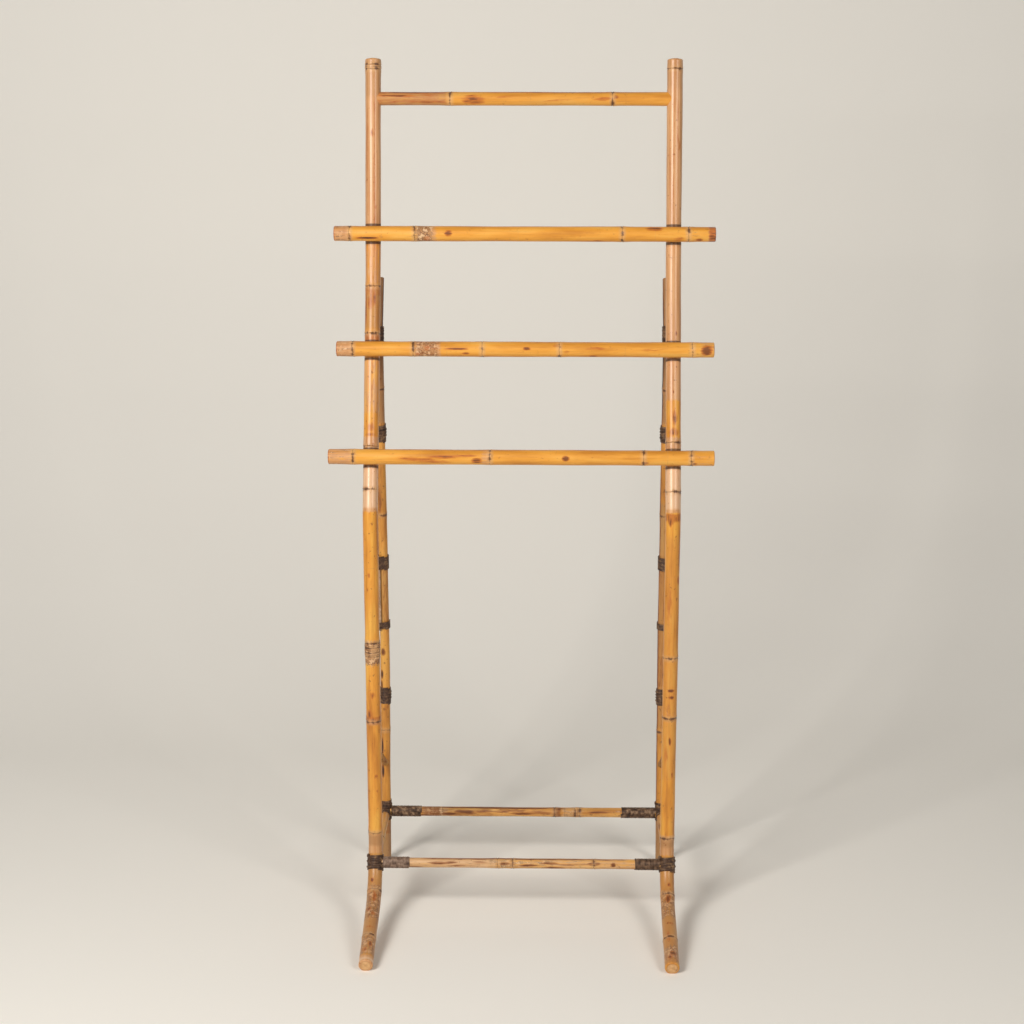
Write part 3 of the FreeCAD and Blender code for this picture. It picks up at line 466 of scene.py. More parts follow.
def closeEnd(bm, ring, station, outwards, rim, layers, seed):
    # the cut rim, then a step down to the plug's seat; a hidden end is only capped
    edges = openEdges(bm, ring)
    way = station["frame"].to_3x3() @ Vector((0, 0, outwards))
    centre = station["frame"].translation * mm
    steps = ((rim, cutEnd["rimOut"]), (cutEnd["seatShare"], -cutEnd["seatDepth"])) if rim else ()
    for scale, step in steps:
        made = bmesh.ops.extrude_edge_only(bm, edges=edges)["geom"]
        verts = [v for v in made if isinstance(v, bmesh.types.BMVert)]
        edges = [e for e in made if isinstance(e, bmesh.types.BMEdge)]
        bmesh.ops.scale(bm, vec=(scale, scale, scale), space=Matrix.Translation(-centre), verts=verts)
        bmesh.ops.translate(bm, vec=way * step * mm, verts=verts)
        for v in verts:
            v[layers["cutEnd"]] = 1.0
            v[layers["nodeGap"]] = culm["farGap"]
            v[layers["straight"]] = v.co + Vector((0, 0, seed))
    bmesh.ops.contextual_create(bm, geom=edges)
    for v in ring:
        v[layers["nodeGap"]] = culm["farGap"]


def ringSpots(length, joints, ends):
    # distances along a pole where its rings stand: even, closer at joints and at rounded ends
    count = round(length / culm["ringStep"])
    spots = [i * length / count for i in range(count + 1)]
    for joint in joints:
        spots = [s for s in spots if abs(s - joint) > culm["jointClear"]]
        added = [joint + way * off for off in culm["jointRings"] for way in (-1, 1)]
        spots += [s for s in added if culm["endClear"] < s < length - culm["endClear"]]
    for end, inwards, rounded in ((0.0, 1, ends[0]), (length, -1, ends[1])):
        spots += [end + inwards * rounded * share for share in culm["endRings"] if rounded]
    return sorted(spots)


def culmRadius(s, length, look, joints, seed):
    share = s / length
    radius = look["radii"][0] * (1 - share) + look["radii"][1] * share
    for depth, reach, turn in culm["waves"]:
        radius += depth * math.sin(s / reach + turn * seed)
    for joint in joints:
        if abs(s - joint) < culm["jointReach"]:
            for height, width, place in culm["jointForms"]:
                radius += height * math.exp(-((s - joint - place) / width) ** 2)
    for toEnd, rounded in zip((s, length - s), look["ends"]):  # softened edge of a cut end
        if rounded and toEnd < rounded:
            radius -= rounded - math.sqrt(rounded ** 2 - (rounded - toEnd) ** 2)
    return radius


def makePole(name, line, front, look, material):
    # look: radii at both ends, joints, zones, and burns and painted shade lines by distance along, and how
    # each end is rounded their degrees run from the front, the other way round where turnWay is -1
    poleCount[0] += 1
    seed = culm["seedStep"] * poleCount[0]
    length = lineLength(line)
    joints = sorted(look["joints"])
    stations = []
    for s in ringSpots(length, joints, look["ends"]):
        radius = culmRadius(s, length, look, joints, seed)
        point, way = pointAt(line, s)
        stations.append({"s": s, "a": radius, "b": radius, "frame": sectionFrame(point, way, front)})
    bm = bmesh.new()
    layers = markLayers(bm)
    rings = ringTube(bm, stations, look.get("sides", culm["sides"]))
    far = culm["farGap"]
    for ring, station in zip(rings, stations):
        s = station["s"]
        inverse = station["frame"].inverted()
        near = min((s - joint for joint in joints), key=abs, default=far)
        zones = {key: zoneShare(s, look.get(f"{key}Zones", ()), fade) for key, fade in zoneFades.items()}
        for v in ring:
            local = inverse @ (v.co / mm)
            angle = math.atan2(local.y, local.x) * look.get("turnWay", 1)
            burn = blobShare(s, angle, station["a"], look.get("burns", ()))
            v[layers["straight"]] = (local.x * mm, local.y * mm, s * mm + seed)
            v[layers["nodeGap"]] = max(-far, min(far, near))
            for key, share in zones.items():
                v[layers[key]] = max(share, burn) if key == "burn" else share
    rims = look.get("rims", (cutEnd["rim"], cutEnd["rim"]))
    for i, outwards in ((0, -1), (-1, 1)):
        rim = rims[i] if look["ends"][i] else 0
        closeEnd(bm, rings[i], stations[i], outwards, rim, layers, seed)
    return finishPiece(name, bm, material)


# plugs: radius and crown in mm, then the profile that they share
plugs = {"top": {"radius": 8.35, "crown": 1.4}, "toe": {"radius": 8.3, "crown": 0.6},
         "rail": {"radius": 8.1, "crown": 0.4}}
plugProfile = {"sunk": 5.0, "edgeDown": 0.2, "edgeIn": 0.5, "edgeUp": 0.25, "steps": 32, "mergeM": 1e-5,
               "crownShares": ((0.75, 0.72), (0.4, 0.95))}


def makePlugs(name, node, ends, size, material):
    # turned plugs: a rounded crown spun round the pole's axis
    radius, crown = size["radius"], size["crown"]
    profile = [(0.0, -plugProfile["sunk"]), (radius, -plugProfile["sunk"]),
               (radius, -plugProfile["edgeDown"]), (radius - plugProfile["edgeIn"], plugProfile["edgeUp"])]
    profile += [(radius * out, crown * up) for out, up in plugProfile["crownShares"]]
    profile.append((0.0, crown))
    bm = bmesh.new()
    layers = markLayers(bm)
    for end, way in ends:
        spot = sectionFrame(end, way, frontFor(way))
        verts = [bm.verts.new(spot @ Vector((x, 0, z)) * mm) for x, z in profile]
        edges = [bm.edges.new(pair) for pair in zip(verts, verts[1:])]
        bmesh.ops.spin(bm, geom=verts + edges, cent=end * mm, axis=way, angle=math.tau,
                       steps=plugProfile["steps"], use_merge=True)
    bmesh.ops.remove_doubles(bm, verts=bm.verts, dist=plugProfile["mergeM"])
    for v in bm.verts:
        v[layers["cutEnd"]] = 1.0
        v[layers["nodeGap"]] = culm["farGap"]
        v[layers["straight"]] = v.co
    piece = finishPiece(name, bm, material)
    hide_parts(node)


# posts
toeTurn = math.radians(post["footTurn"])
toeReach = post["footR"] * (1 - math.cos(toeTurn)) + post["toe"] * math.sin(toeTurn)
footStart = post["toe"] * math.cos(toeTurn) - post["wear"]
footStart += (post["radius"] + post["footR"]) * math.sin(toeTurn)


def onPost(z):
    y = stand["legY"]
    if z < footStart:
        y -= post["footR"] * (1 - math.cos(math.asin((footStart - z) / post["footR"])))
    if z > post["bendZ"]:
        y += (min(z, post["crestZ"]) - post["bendZ"]) * math.tan(math.radians(post["lean"]))
    if z > post["crestZ"]:
        y += (z - post["crestZ"]) * math.tan(math.radians(post["crestLean"]))
    return Vector((0, y, z))


def postLine(side):
    toe = Vector((0, stand["legY"] - toeReach, post["radius"] * math.sin(toeTurn) - post["wear"]))
    ankle = Vector((0, stand["legY"], footStart - post["footR"] * math.tan(toeTurn / 2)))
    corners = [toe, ankle, onPost(post["bendZ"]), onPost(post["crestZ"]), onPost(post["topZ"])]
    shift = Vector((side * stand["halfSpacing"], 0, 0))
    return bentLine([c + shift for c in corners], [post["footR"], post["bendR"], post["crestR"]])


# what both posts share, and the painted contact shade lines above and below each rail: distance from its
# axis, half width
postCulm = {"radii": (11.9, 13.0), "ends": (2.5, 2.5), "rims": (0.9, 0.81)}
railContactShade = {"off": 14.6, "half": 2.2}
wornFlatM = 0.0001  # height of the worn flat under a toe
# marks by height in atZ, by distance from the toe in atToe
# zone: from, to, strength; burn: middle, degrees round the pole, length, width, strength
postLooks = {
    "left": {
        "atZ": {
            "joints": (151, 352, 468, 475, 483, 491, 751, 818, 996, 1071, 1423, 1430),
            "mottleZones": ((452, 497, 0.9), (1040, 1072, 0.5)),
            # on the posts these zones are painted sheen; past 1.2, at the bend, also a painted highlight
            "blushAndSheenZones": ((112, 148, 0.9), (719, 788, 1.55), (815, 833, 1.0), (868, 1001, 0.55),
                           (1001, 1030, 0.3), (1073, 1150, 0.5), (1150, 1440, 1.0)),
            "burnZones": ((976, 996, 0.6), (1055, 1074, 0.5), (145, 150, 0.4), (347, 362, 0.75)),
            "ageAndShadeZones": ((1000, 1072, 0.6), (126, 152, 0.9), (1376, 1440, 0.5)),
            "burns": ((820, 20, 8, 4, 0.8), (848, 0, 16, 11, 0.55), (836, 0, 6, 16, 0.6),
                      (610, -15, 9, 4, 0.7), (585, -30, 7, 3, 0.6), (365, -25, 20, 8, 0.7),
                      (400, 0, 12, 10, 0.5), (255, 20, 7, 4, 0.8), (228, 25, 6, 3, 0.7),
                      (1052, 15, 26, 6, 0.7), (1044, -15, 24, 9, 0.6), (1035, -60, 60, 5, 0.8),
                      (1320, -5, 14, 6, 0.6), (1200, 20, 10, 4, 0.6), (1265, 14, 380, 2.4, 0.55),
                      (930, 12, 120, 2.2, 0.5), (1290, -40, 260, 2.0, 0.5))},
        "atToe": {
            "joints": (70, 191),
            "mottleZones": ((112, 203, 0.68), (16, 78, 0.6)),
            "blushAndSheenZones": ((0, 13, 1.5),),
            "burnZones": ((22, 66, 0.2), (112, 203, 0.26)),
            "ageAndShadeZones": ((14, 262, 0.75), (262, 282, 0.3)),
            "burns": ((210, -20, 9, 5, 0.9), (139, -25, 9, 6, 0.9), (126, 15, 8, 6, 0.7),
                      (172, 10, 26, 7, 0.6), (90, 0, 6, 14, 0.6), (44, 20, 12, 7, 0.7),
                      (190, -35, 16, 6, 0.6), (30, -20, 12, 7, 0.7))}},
    "right": {
        "atZ": {
            "joints": (145, 362, 468, 749, 826, 1424),
            "mottleZones": ((364, 388, 0.4),),
            # on the posts these zones are painted sheen; past 1.2, at the bend, also a painted highlight
            "blushAndSheenZones": ((112, 150, 0.9), (719, 788, 1.55), (815, 834, 1.0), (892, 1440, 1.0)),
            "burnZones": ((364, 388, 0.3), (704, 717, 0.7)),
            "ageAndShadeZones": ((126, 146, 0.8), (1390, 1440, 0.4)),
            "burns": ((905, 0, 6, 2, 1.0), (997, 20, 8, 2, 1.0), (866, 8, 26, 7, 0.75),
                      (842, 0, 14, 16, 0.6), (603, 60, 16, 6, 0.7), (412, 5, 6, 8, 1.15),
                      (400, 10, 6, 7, 1.0), (560, -20, 60, 9, 0.4), (705, -20, 16, 8, 0.8),
                      (322, 5, 14, 3, 1.1), (296, -25, 30, 6, 0.5), (260, 30, 12, 3, 0.6),
                      (640, 65, 50, 4, 0.7), (1300, 40, 20, 4, 0.6), (1265, -8, 360, 2.2, 0.5),
                      (1330, 22, 140, 2.4, 0.5), (930, -8, 120, 2.2, 0.45))},
        "atToe": {
            "joints": (70, 186),
            "mottleZones": ((120, 196, 0.62), (6, 50, 0.6)),
            "blushAndSheenZones": ((15, 40, 1.0),),
            "burnZones": ((8, 32, 0.34), (130, 190, 0.24)),
            "ageAndShadeZones": ((0, 262, 0.65), (262, 282, 0.3), (400, 830, 0.3)),
            "burns": ((173, 0, 20, 5, 1.0), (180, 12, 10, 4, 0.9), (26, 10, 9, 8, 1.0),
                      (16, -15, 8, 7, 0.9), (106, 0, 6, 14, 0.6), (205, 15, 9, 5, 0.8),
                      (70, -15, 30, 6, 0.6))}},
}
topEnds, toeEnds = [], []
for word, side in bothSides:
    line = postLine(side)
    atZ, atToe = postLooks[word]["atZ"], postLooks[word]["atToe"]
    look = dict(postCulm, joints=[alongAtZ(line, z) for z in atZ["joints"]] + list(atToe["joints"]))
    look["burns"] = [(alongAtZ(line, z), *rest) for z, *rest in atZ["burns"]] + list(atToe["burns"])
    for key in ("mottleZones", "blushAndSheenZones", "burnZones", "ageAndShadeZones"):
        risen = [(alongAtZ(line, low), alongAtZ(line, high), amount) for low, high, amount in atZ[key]]
        look[key] = risen + list(atToe[key])
    # painted contact shade on the post above and below every towel rail
    look["grimeZones"] = []
    for z in rail["heights"].values():
        for off in (-railContactShade["off"], railContactShade["off"]):
            at = alongAtZ(line, z) + off
            look["grimeZones"].append((at - railContactShade["half"], at + railContactShade["half"], 1.0))
    piece = makePole(f"{word}Post", line, forward, look, bamboo["postBamboo"])
    cut = bmesh.new()  # the worn flat
    cut.from_mesh(piece.data)
    bmesh.ops.bisect_plane(cut, geom=cut.verts[:] + cut.edges[:] + cut.faces[:], plane_co=(0, 0, wornFlatM),
                           plane_no=(0, 0, 1), clear_inner=True)
    bmesh.ops.contextual_create(cut, geom=[e for e in cut.edges if len(e.link_faces) == 1])
    cut.to_mesh(piece.data)
    cut.free()
    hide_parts(f"{word}_post")
    topEnds.append(pointAt(line, lineLength(line)))
    toe, way = pointAt(line, 0.0)
    toeEnds.append((toe, -way))
makePlugs("postTopPlugs", "post_top_plugs", topEnds, plugs["top"], bamboo["postBamboo"])
makePlugs("toePlugs", "toe_plugs", toeEnds, plugs["toe"], bamboo["postBamboo"])
print("posts made")

# towel rails on the fronts of the posts: their ends, and marks by distance from the left end
railCulm = {"radii": (12.5, 12.4), "ends": (1.8, 1.8), "rims": (0.77, 0.77), "turnWay": -1}
# painted shade along the top of each towel rail
topShade = (315, 92, 900, 4.5, 0.62)  # the darker line along each towel rail's top
railLooks = {
    "upper": {
        "left": 313, "right": 318, "joints": (26, 134, 477, 586),
        "mottleZones": ((135, 165, 0.85), (-20, 26, 0.46), (588, 608, 0.4)),
        "blushAndSheenZones": ((-20, 26, 0.8), (135, 172, 0.6), (618, 660, 0.8)),
        "burnZones": ((619, 660, 0.75), (586, 600, 0.15), (-20, 1.5, 1.0)),
        "burns": (topShade, (190, 10, 12, 8, 0.9), (27, -20, 6, 6, 0.9), (56, -28, 34, 2.2, 1.55),
                  (530, 55, 26, 7, 0.8), (604, -40, 12, 5, 0.8), (570, -35, 20, 6, 0.5),
                  (430, -60, 40, 6, 0.5), (155, -35, 12, 9, 0.5))},
    "middle": {
        "left": 307, "right": 316, "joints": (27, 127, 241, 368, 587),
        "mottleZones": ((128, 171, 0.72), (-20, 26, 0.46)),
        "blushAndSheenZones": ((-20, 28, 0.8), (128, 174, 0.7), (598, 660, 0.45)),
        "burnZones": ((128, 171, 0.3), (-20, 1.5, 1.0)),
        "burns": (topShade, (198, 12, 38, 2.4, 1.0), (214, -25, 12, 4, 0.8), (314, 16, 12, 4, 1.0),
                  (428, 20, 36, 5, 0.5), (424, -50, 14, 4, 0.8), (610, 5, 17, 13, 0.95),
                  (362, 40, 12, 5, 0.5), (150, 20, 12, 9, 0.5), (134, -35, 8, 6, 0.6),
                  (520, 10, 50, 4, 0.35), (380, -10, 12, 5, 0.5))},
    "lower": {
        "left": 318, "right": 316, "joints": (41, 266, 518, 596),
        "mottleZones": ((-20, 40, 0.38), (252, 268, 0.3)),
        "blushAndSheenZones": ((-20, 40, 0.65), (250, 270, 0.55), (600, 660, 0.35)),
        "burnZones": ((-20, 1.5, 1.0),),
        "burns": (topShade, (150, -5, 70, 5, 0.6), (190, 15, 50, 4, 0.75), (176, -25, 60, 4, 0.55),
                  (244, -15, 18, 7, 0.85), (390, 5, 12, 7, 1.0), (228, 25, 30, 3, 0.7),
                  (520, -30, 12, 5, 0.8), (130, 10, 40, 3, 0.5), (600, -35, 10, 5, 0.7))},
}
standOff = post["radius"] + rail["radius"] - rail["saddle"] + rail["gap"]
railEnds = []
for word, spec in railLooks.items():
    z = rail["heights"][word]
    tilt = math.radians(post["crestLean"] if z > post["crestZ"] else post["lean"])
    centre = onPost(z) + Vector((0, -math.cos(tilt), math.sin(tilt))) * standOff
    start = centre - Vector((spec["left"], 0, 0))
    end = centre + Vector((spec["right"], 0, 0))
    piece = makePole(f"{word}TowelRail", straightLine(start, end), forward, dict(spec, **railCulm),
                     bamboo["railBamboo"])
    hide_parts(f"{word}_towel_rail")
    railEnds += [(start, Vector((-1, 0, 0))), (end, Vector((1, 0, 0)))]
makePlugs("railEndPlugs", "rail_end_plugs", railEnds, plugs["rail"], bamboo["railBamboo"])

# top rail between the posts: how far below their tops, half its length
topRail = {
    "below": 64, "half": 249, "radii": (11.0, 11.3), "ends": (0, 0), "turnWay": -1, "joints": (127, 396),
    "mottleZones": ((-20, 40, 0.3),), "ageAndShadeZones": ((-20, 126, 0.5), (126, 520, 0.2)),
    "blushAndSheenZones": ((-20, 122, 0.55),), "burnZones": ((125, 128, 0.3), (-20, 122, 0.36)),
    # the long marks at 80 and 84 degrees are painted shade along the top of the rail
    "burns": ((166, -5, 36, 13, 0.75), (380, 5, 30, 5, 0.6), (402, 20, 8, 4, 0.8), (40, 30, 70, 2.5, 0.85),
              (90, -25, 60, 2.5, 0.75), (66, 80, 130, 7, 0.95), (306, 84, 320, 6, 0.75),
              (306, -10, 60, 4, 0.4), (220, 20, 50, 5, 0.4))}
topCentre = onPost(post["topZ"] - topRail["below"])
reach = Vector((topRail["half"], 0, 0))
piece = makePole("topRail", straightLine(topCentre - reach, topCentre + reach), forward, topRail,
                 bamboo["railBamboo"])
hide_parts("top_rail")
print("rails made")

# rear legs: upright, then leaning forward, then along the back of the post
leanAngle = math.radians(post["lean"])
rearTilt = math.atan(rear["inset"] / rear["topZ"])
backGap = post["radius"] + rear["radius"] + rear["gap"]
headBack = math.sqrt(backGap ** 2 - rear["inset"] ** 2)


def rearLine(side):
    axis = Vector((0, math.sin(leanAngle), math.cos(leanAngle)))
    behind = Vector((0, math.cos(leanAngle), -math.sin(leanAngle)))
    rise = (rear["topZ"] - post["bendZ"] + headBack * math.sin(leanAngle)) / math.cos(leanAngle)
    top = onPost(post["bendZ"]) + axis * rise + behind * headBack
    origin = Vector((0, stand["rearY"], 0))
    corners = [Vector((0, 0, rear["footGap"])), Vector((0, 0, rear["kneeZ"])),
               top - axis * rear["headRun"] - origin, top - origin]
    spot = Matrix.Translation((side * stand["halfSpacing"], stand["rearY"], 0))
    spot = spot @ Matrix.Rotation(-side * rearTilt, 4, "Y")
    return bentLine([spot @ c for c in corners], [rear["kneeR"], rear["headR"]])


def rearX(z):
    return stand["halfSpacing"] - rear["inset"] * z / rear["topZ"]


# marks by distance from the floor
rearCulm = {"radii": (8.6, 8.2), "ends": (0.8, 1.5), "joints": (255, 672, 905), "sides": culm["thinSides"]}
# the zones from 842 up and the long marks at 78 and -78 degrees are painted shade on the upper rear legs,
# darkest on their inner sides
rearLooks = {
    "left": {
        "burns": ((361, -38, 14, 3.4, 1.6), (340, -40, 16, 2.4, 1.4), (224, -38, 30, 2.8, 1.6),
                  (177, -34, 22, 3.8, 1.6), (404, -20, 14, 6, 0.9), (700, -20, 60, 6, 0.6),
                  (300, 30, 10, 4, 0.5), (620, -60, 160, 3, 0.7), (1040, 78, 150, 4, 1.7)),
        "burnZones": ((55, 84, 0.5), (462, 574, 0.34), (842, 1000, 0.25)),
        "ageAndShadeZones": ((-10, 78, 0.9), (462, 574, 0.4), (842, 1200, 0.8))},
    "right": {
        "burns": ((362, 30, 40, 7, 0.9), (210, 40, 60, 5, 0.6), (500, 20, 80, 5, 0.5),
                  (640, 20, 60, 5, 0.5), (330, -72, 500, 4, 1.0), (640, -66, 300, 3, 0.9),
                  (960, -78, 260, 5, 1.7)),
        "burnZones": ((20, 90, 0.25), (340, 400, 0.45)),
        "ageAndShadeZones": ((-10, 90, 0.8), (260, 700, 0.5), (842, 1200, 0.8))},
}
for word, side in bothSides:
    piece = makePole(f"{word}RearLeg", rearLine(side), forward, dict(rearLooks[word], **rearCulm),
                     bamboo["legBamboo"])
    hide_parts(f"{word}_rear_leg")

# stretchers: half the length, and marks by distance from the left end
foot = onPost(stand["stretcherZ"])
rearFoot = Vector((0, stand["rearY"], stand["stretcherZ"]))
spindleCulm = {"ends": (0, 0), "sides": culm["thinSides"]}
spindleLooks = {
    "front": {
        "middle": foot, "half": 240, "radii": (8.3, 8.5), "joints": (200, 226, 365),
        "burns": ((100, 20, 40, 4, 0.7), (213, 20, 20, 4, 0.7), (298, -30, 40, 5, 0.6),
                  (365, 20, 20, 5, 0.7), (398, 10, 8, 5, 1.1), (140, -10, 60, 3, 0.5),
                  (330, 10, 60, 3, 0.5), (170, 30, 30, 4, 0.5), (240, 85, 400, 4, 0.8),
                  (60, -40, 30, 3, 0.8), (120, 30, 25, 3, 0.8), (255, 0, 40, 3, 0.8), (290, 25, 30, 3, 0.9)),
        "burnZones": ((0, 500, 0.12),), "blushAndSheenZones": ((0, 200, 0.7), (200, 500, 0.5)),
        "mottleZones": ((0, 500, 0.32), (180, 300, 0.5))},
    "rear": {
        "middle": rearFoot, "half": 243, "radii": (8.5, 8.4), "joints": (300, 337, 346),
        "burns": ((138, 15, 40, 6, 0.9), (175, 20, 70, 5, 0.6), (220, 35, 60, 5, 0.6),
                  (120, -20, 30, 5, 0.7), (270, 10, 50, 6, 0.6), (200, 80, 220, 5, 1.0),
                  (110, -10, 26, 5, 1.0), (240, 0, 40, 4, 0.9), (380, 20, 40, 3, 0.8)),
        "burnZones": ((297, 312, 0.75), (50, 92, 0.6), (92, 190, 0.4), (0, 500, 0.16)),
        "ageAndShadeZones": ((0, 500, 0.22),), "blushAndSheenZones": ((60, 110, 0.6), (312, 350, 0.5)),
        "mottleZones": ((60, 105, 0.7), (312, 345, 0.5), (0, 500, 0.34))},
}
for word, spec in spindleLooks.items():
    reach = Vector((spec["half"], 0, 0))
    line = straightLine(spec["middle"] - reach, spec["middle"] + reach)
    piece = makePole(f"{word}Stretcher", line, forward, dict(spec, turnWay=-1, **spindleCulm),
                     bamboo["stretcherBamboo"])
    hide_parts(f"{word}_stretcher")

# side stretchers and braces: how far they start and end from the axes of post and rear leg
sideStretcher = {"fromPost": 6, "fromLeg": 4, "radii": (7.4, 7.4), "joints": (95,),
                 "burns": ((60, 0, 30, 5, 0.7), (150, 40, 30, 5, 0.7)), "blushAndSheenZones": ((0, 230, 0.4),)}
brace = {"postZ": 300.0, "legZ": 190.0, "fromPost": 7, "fromLeg": 5, "radii": (5.9, 5.9), "joints": (120,),
         "burns": ((60, 0, 30, 4, 0.7), (180, 40, 30, 4, 0.7))}
for word, side in bothSides:
    inwards = Vector((-side, 0, 0))
    postX = Vector((side * stand["halfSpacing"], 0, 0))
    start = foot + postX + Vector((0, sideStretcher["fromPost"], 0))
    end = Vector((side * rearX(stand["stretcherZ"]), stand["rearY"], stand["stretcherZ"]))
    end -= Vector((0, sideStretcher["fromLeg"], 0))
    piece = makePole(f"{word}SideStretcher", straightLine(start, end), inwards,
                     dict(sideStretcher, **spindleCulm), bamboo["legBamboo"])
    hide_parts(f"{word}_side_stretcher")
    start = onPost(brace["postZ"]) + postX
    end = Vector((side * rearX(brace["legZ"]), stand["rearY"], brace["legZ"]))
    way = (end - start).normalized()
    line = straightLine(start + way * brace["fromPost"], end - way * brace["fromLeg"])
    piece = makePole(f"{word}SideBrace", line, inwards, dict(brace, **spindleCulm), bamboo["braceBamboo"])
    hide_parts(f"{word}_side_brace")
print("rear legs, stretchers and braces made")

# split cane, in mm: flat strips laid along wound lines that waver a little
strip = {"half": (0.85, 1.5), "pitch": 2.5, "sides": 8, "turnSteps": 26, "leastSteps": 8, "seedStep": 1.9,
         "wobble": 0.12, "wobbleTurn": 0.37, "wobbleStart": 5}
beltSteps = {"leg": 12, "splint": 8}


def windStrip(bm, layers, points, outs, half, seed):
    # points and outward ways along the strip; half: half thickness, half width
    ways = []
    for i in range(len(points)):
        ahead = points[min(i + 1, len(points) - 1)]
        behind = points[max(i - 1, 0)]
        ways.append((ahead - behind).normalized())
    stations = []
    run = 0.0
    for i, (point, way, out) in enumerate(zip(points, ways, outs)):
        if i:
            run += (point - points[i - 1]).length
        stations.append({"s": run, "a": half[0], "b": half[1], "frame": sectionFrame(point, way, out)})
    rings = ringTube(bm, stations, strip["sides"])
    for ring, station in zip(rings, stations):
        inverse = station["frame"].inverted()
        for v in ring:
            local = inverse @ (v.co / mm)
            v[layers["straight"]] = (local.x * mm, local.y * mm, station["s"] * mm + seed)
    for ring in (rings[0], rings[-1]):
        bmesh.ops.contextual_create(bm, geom=openEdges(bm, ring))


def woundLine(line, low, high, turns, lift, first, wobble=strip["wobble"]):
    # points of a strip wound round a pole's line, lift from its axis, with outward ways
    points, outs = [], []
    count = max(strip["leastSteps"], round(turns * strip["turnSteps"]))
    for i in range(count + 1):
        angle = first + math.tau * turns * i / count
        point, way = pointAt(line, low + (high - low) * i / count)
        spot = sectionFrame(point, way, frontFor(way))
        out = Vector((math.cos(angle), math.sin(angle), 0))
        reach = lift + wobble * math.sin(angle * strip["wobbleTurn"] + first * strip["wobbleStart"])
        points.append((spot @ (out * reach).to_4d()).xyz)
        outs.append(spot.to_3x3() @ out)
    return points, outs


def beltLine(spot, big, small, offset, low, high, turns):
    # points of a strip round a leg and its splint, the splint at offset from the leg
    bearing = math.atan2(offset.y, offset.x)
    wrap = math.acos((big - small) / offset.length)
    loop = []
    for k in range(beltSteps["leg"] + 1):
        a = bearing + wrap + (math.tau - 2 * wrap) * k / beltSteps["leg"]
        loop.append((Vector((big * math.cos(a), big * math.sin(a), 0)), a))
    for k in range(beltSteps["splint"] + 1):
        a = bearing - wrap + 2 * wrap * k / beltSteps["splint"]
        loop.append((offset + Vector((small * math.cos(a), small * math.sin(a), 0)), a))
    points, outs = [], []
    total = round(len(loop) * turns)
    for i in range(total + 1):
        base, a = loop[i % len(loop)]
        z = low + (high - low) * i / total
        points.append((spot @ (base + Vector((0, 0, z))).to_4d()).xyz)
        outs.append(spot.to_3x3() @ Vector((math.cos(a), math.sin(a), 0)))
    return points, outs


def canePiece(name, node, strips, material):
    # a strip: its points, outward ways and half sizes, and which material where there are two
    bm = bmesh.new()
    markLayers(bm)
    for i, (points, outs, half, *which) in enumerate(strips):
        part = bmesh.new()
        windStrip(part, markLayers(part), points, outs, half, strip["seedStep"] * i)
        for face in part.faces:
            face.material_index = which[0] if which else 0
        addInto(bm, part)
    piece = finishPiece(name, bm, material)
    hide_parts(node)


# joints of the stretchers: close turns round the upright, then crossed turns over them
jointSpecs = {"front": {"height": 27.0, "raise": 0.0, "radius": 12.6, "line": postLine},
              "rear": {"height": 36.0, "raise": 4.0, "radius": 8.6, "line": rearLine}}
lashing = {"lift": 0.75, "start": 0.4, "crossLift": 1.95, "crossTurns": 2.5, "crossHalf": (0.7, 1.5),
           "rising": {"inset": 1, "start": 2.0}, "falling": {"inset": 2, "start": 4.1}}
sideTurns = {"length": 15.0, "turns": 6, "lift": 8.2, "start": 0.9}
for row, spec in jointSpecs.items():
    strips = []
    for word, side in bothSides:
        line = spec["line"](side)
        middle = alongAtZ(line, stand["stretcherZ"]) + spec["raise"]
        low, high = middle - spec["height"] / 2, middle + spec["height"] / 2
        turns = spec["height"] / strip["pitch"]
        close = woundLine(line, low, high, turns, spec["radius"] + lashing["lift"], lashing["start"])
        strips.append((*close, strip["half"]))
        rising, falling = lashing["rising"], lashing["falling"]
        for start, end, first in ((low + rising["inset"], high - rising["inset"], rising["start"]),
                                  (high - falling["inset"], low + falling["inset"], falling["start"])):
            crossed = woundLine(line, start, end, lashing["crossTurns"],
                                spec["radius"] + lashing["crossLift"], first)
            strips.append((*crossed, lashing["crossHalf"]))
        if row == "rear":  # turns round the end of the side stretcher
            z = stand["stretcherZ"]
            start = Vector((side * rearX(z), stand["rearY"] - spec["radius"], z))
            line = straightLine(start, start + forward * sideTurns["length"])
            strips.append((*woundLine(line, 0.0, sideTurns["length"], sideTurns["turns"], sideTurns["lift"],
                                      sideTurns["start"]), strip["half"]))
    canePiece(f"{row}JointLashings", f"{row}_joint_lashings", strips, cane["darkCane"])

# sleeves on the stretcher ends
sleeves = {"front": {"y": foot.y, "from": 238.0, "lengths": {"left": 46.0, "right": 43.0},
                     "tones": ("greyCane", "brownCane")},
           "rear": {"y": stand["rearY"], "from": 240.0, "lengths": {"left": 55.0, "right": 62.0},
                    "tones": ("mottledCane", "mottledCane")}}
sleeve = {"pitch": 2.3, "lift": 9.25, "start": 0.4, "half": (0.75, 1.3)}
for row, spec in sleeves.items():
    strips = []
    for which, (word, side) in enumerate(bothSides):
        reach = spec["lengths"][word]
        start = Vector((side * spec["from"], spec["y"], stand["stretcherZ"]))
        line = straightLine(start, start - Vector((side * reach, 0, 0)))
        turns = reach / sleeve["pitch"]
        strips.append((*woundLine(line, 0.0, reach, turns, sleeve["lift"], sleeve["start"]), sleeve["half"],
                       which))
    canePiece(f"{row}StretcherSleeves", f"{row}_stretcher_sleeves", strips,
              [cane[tone] for tone in spec["tones"]])

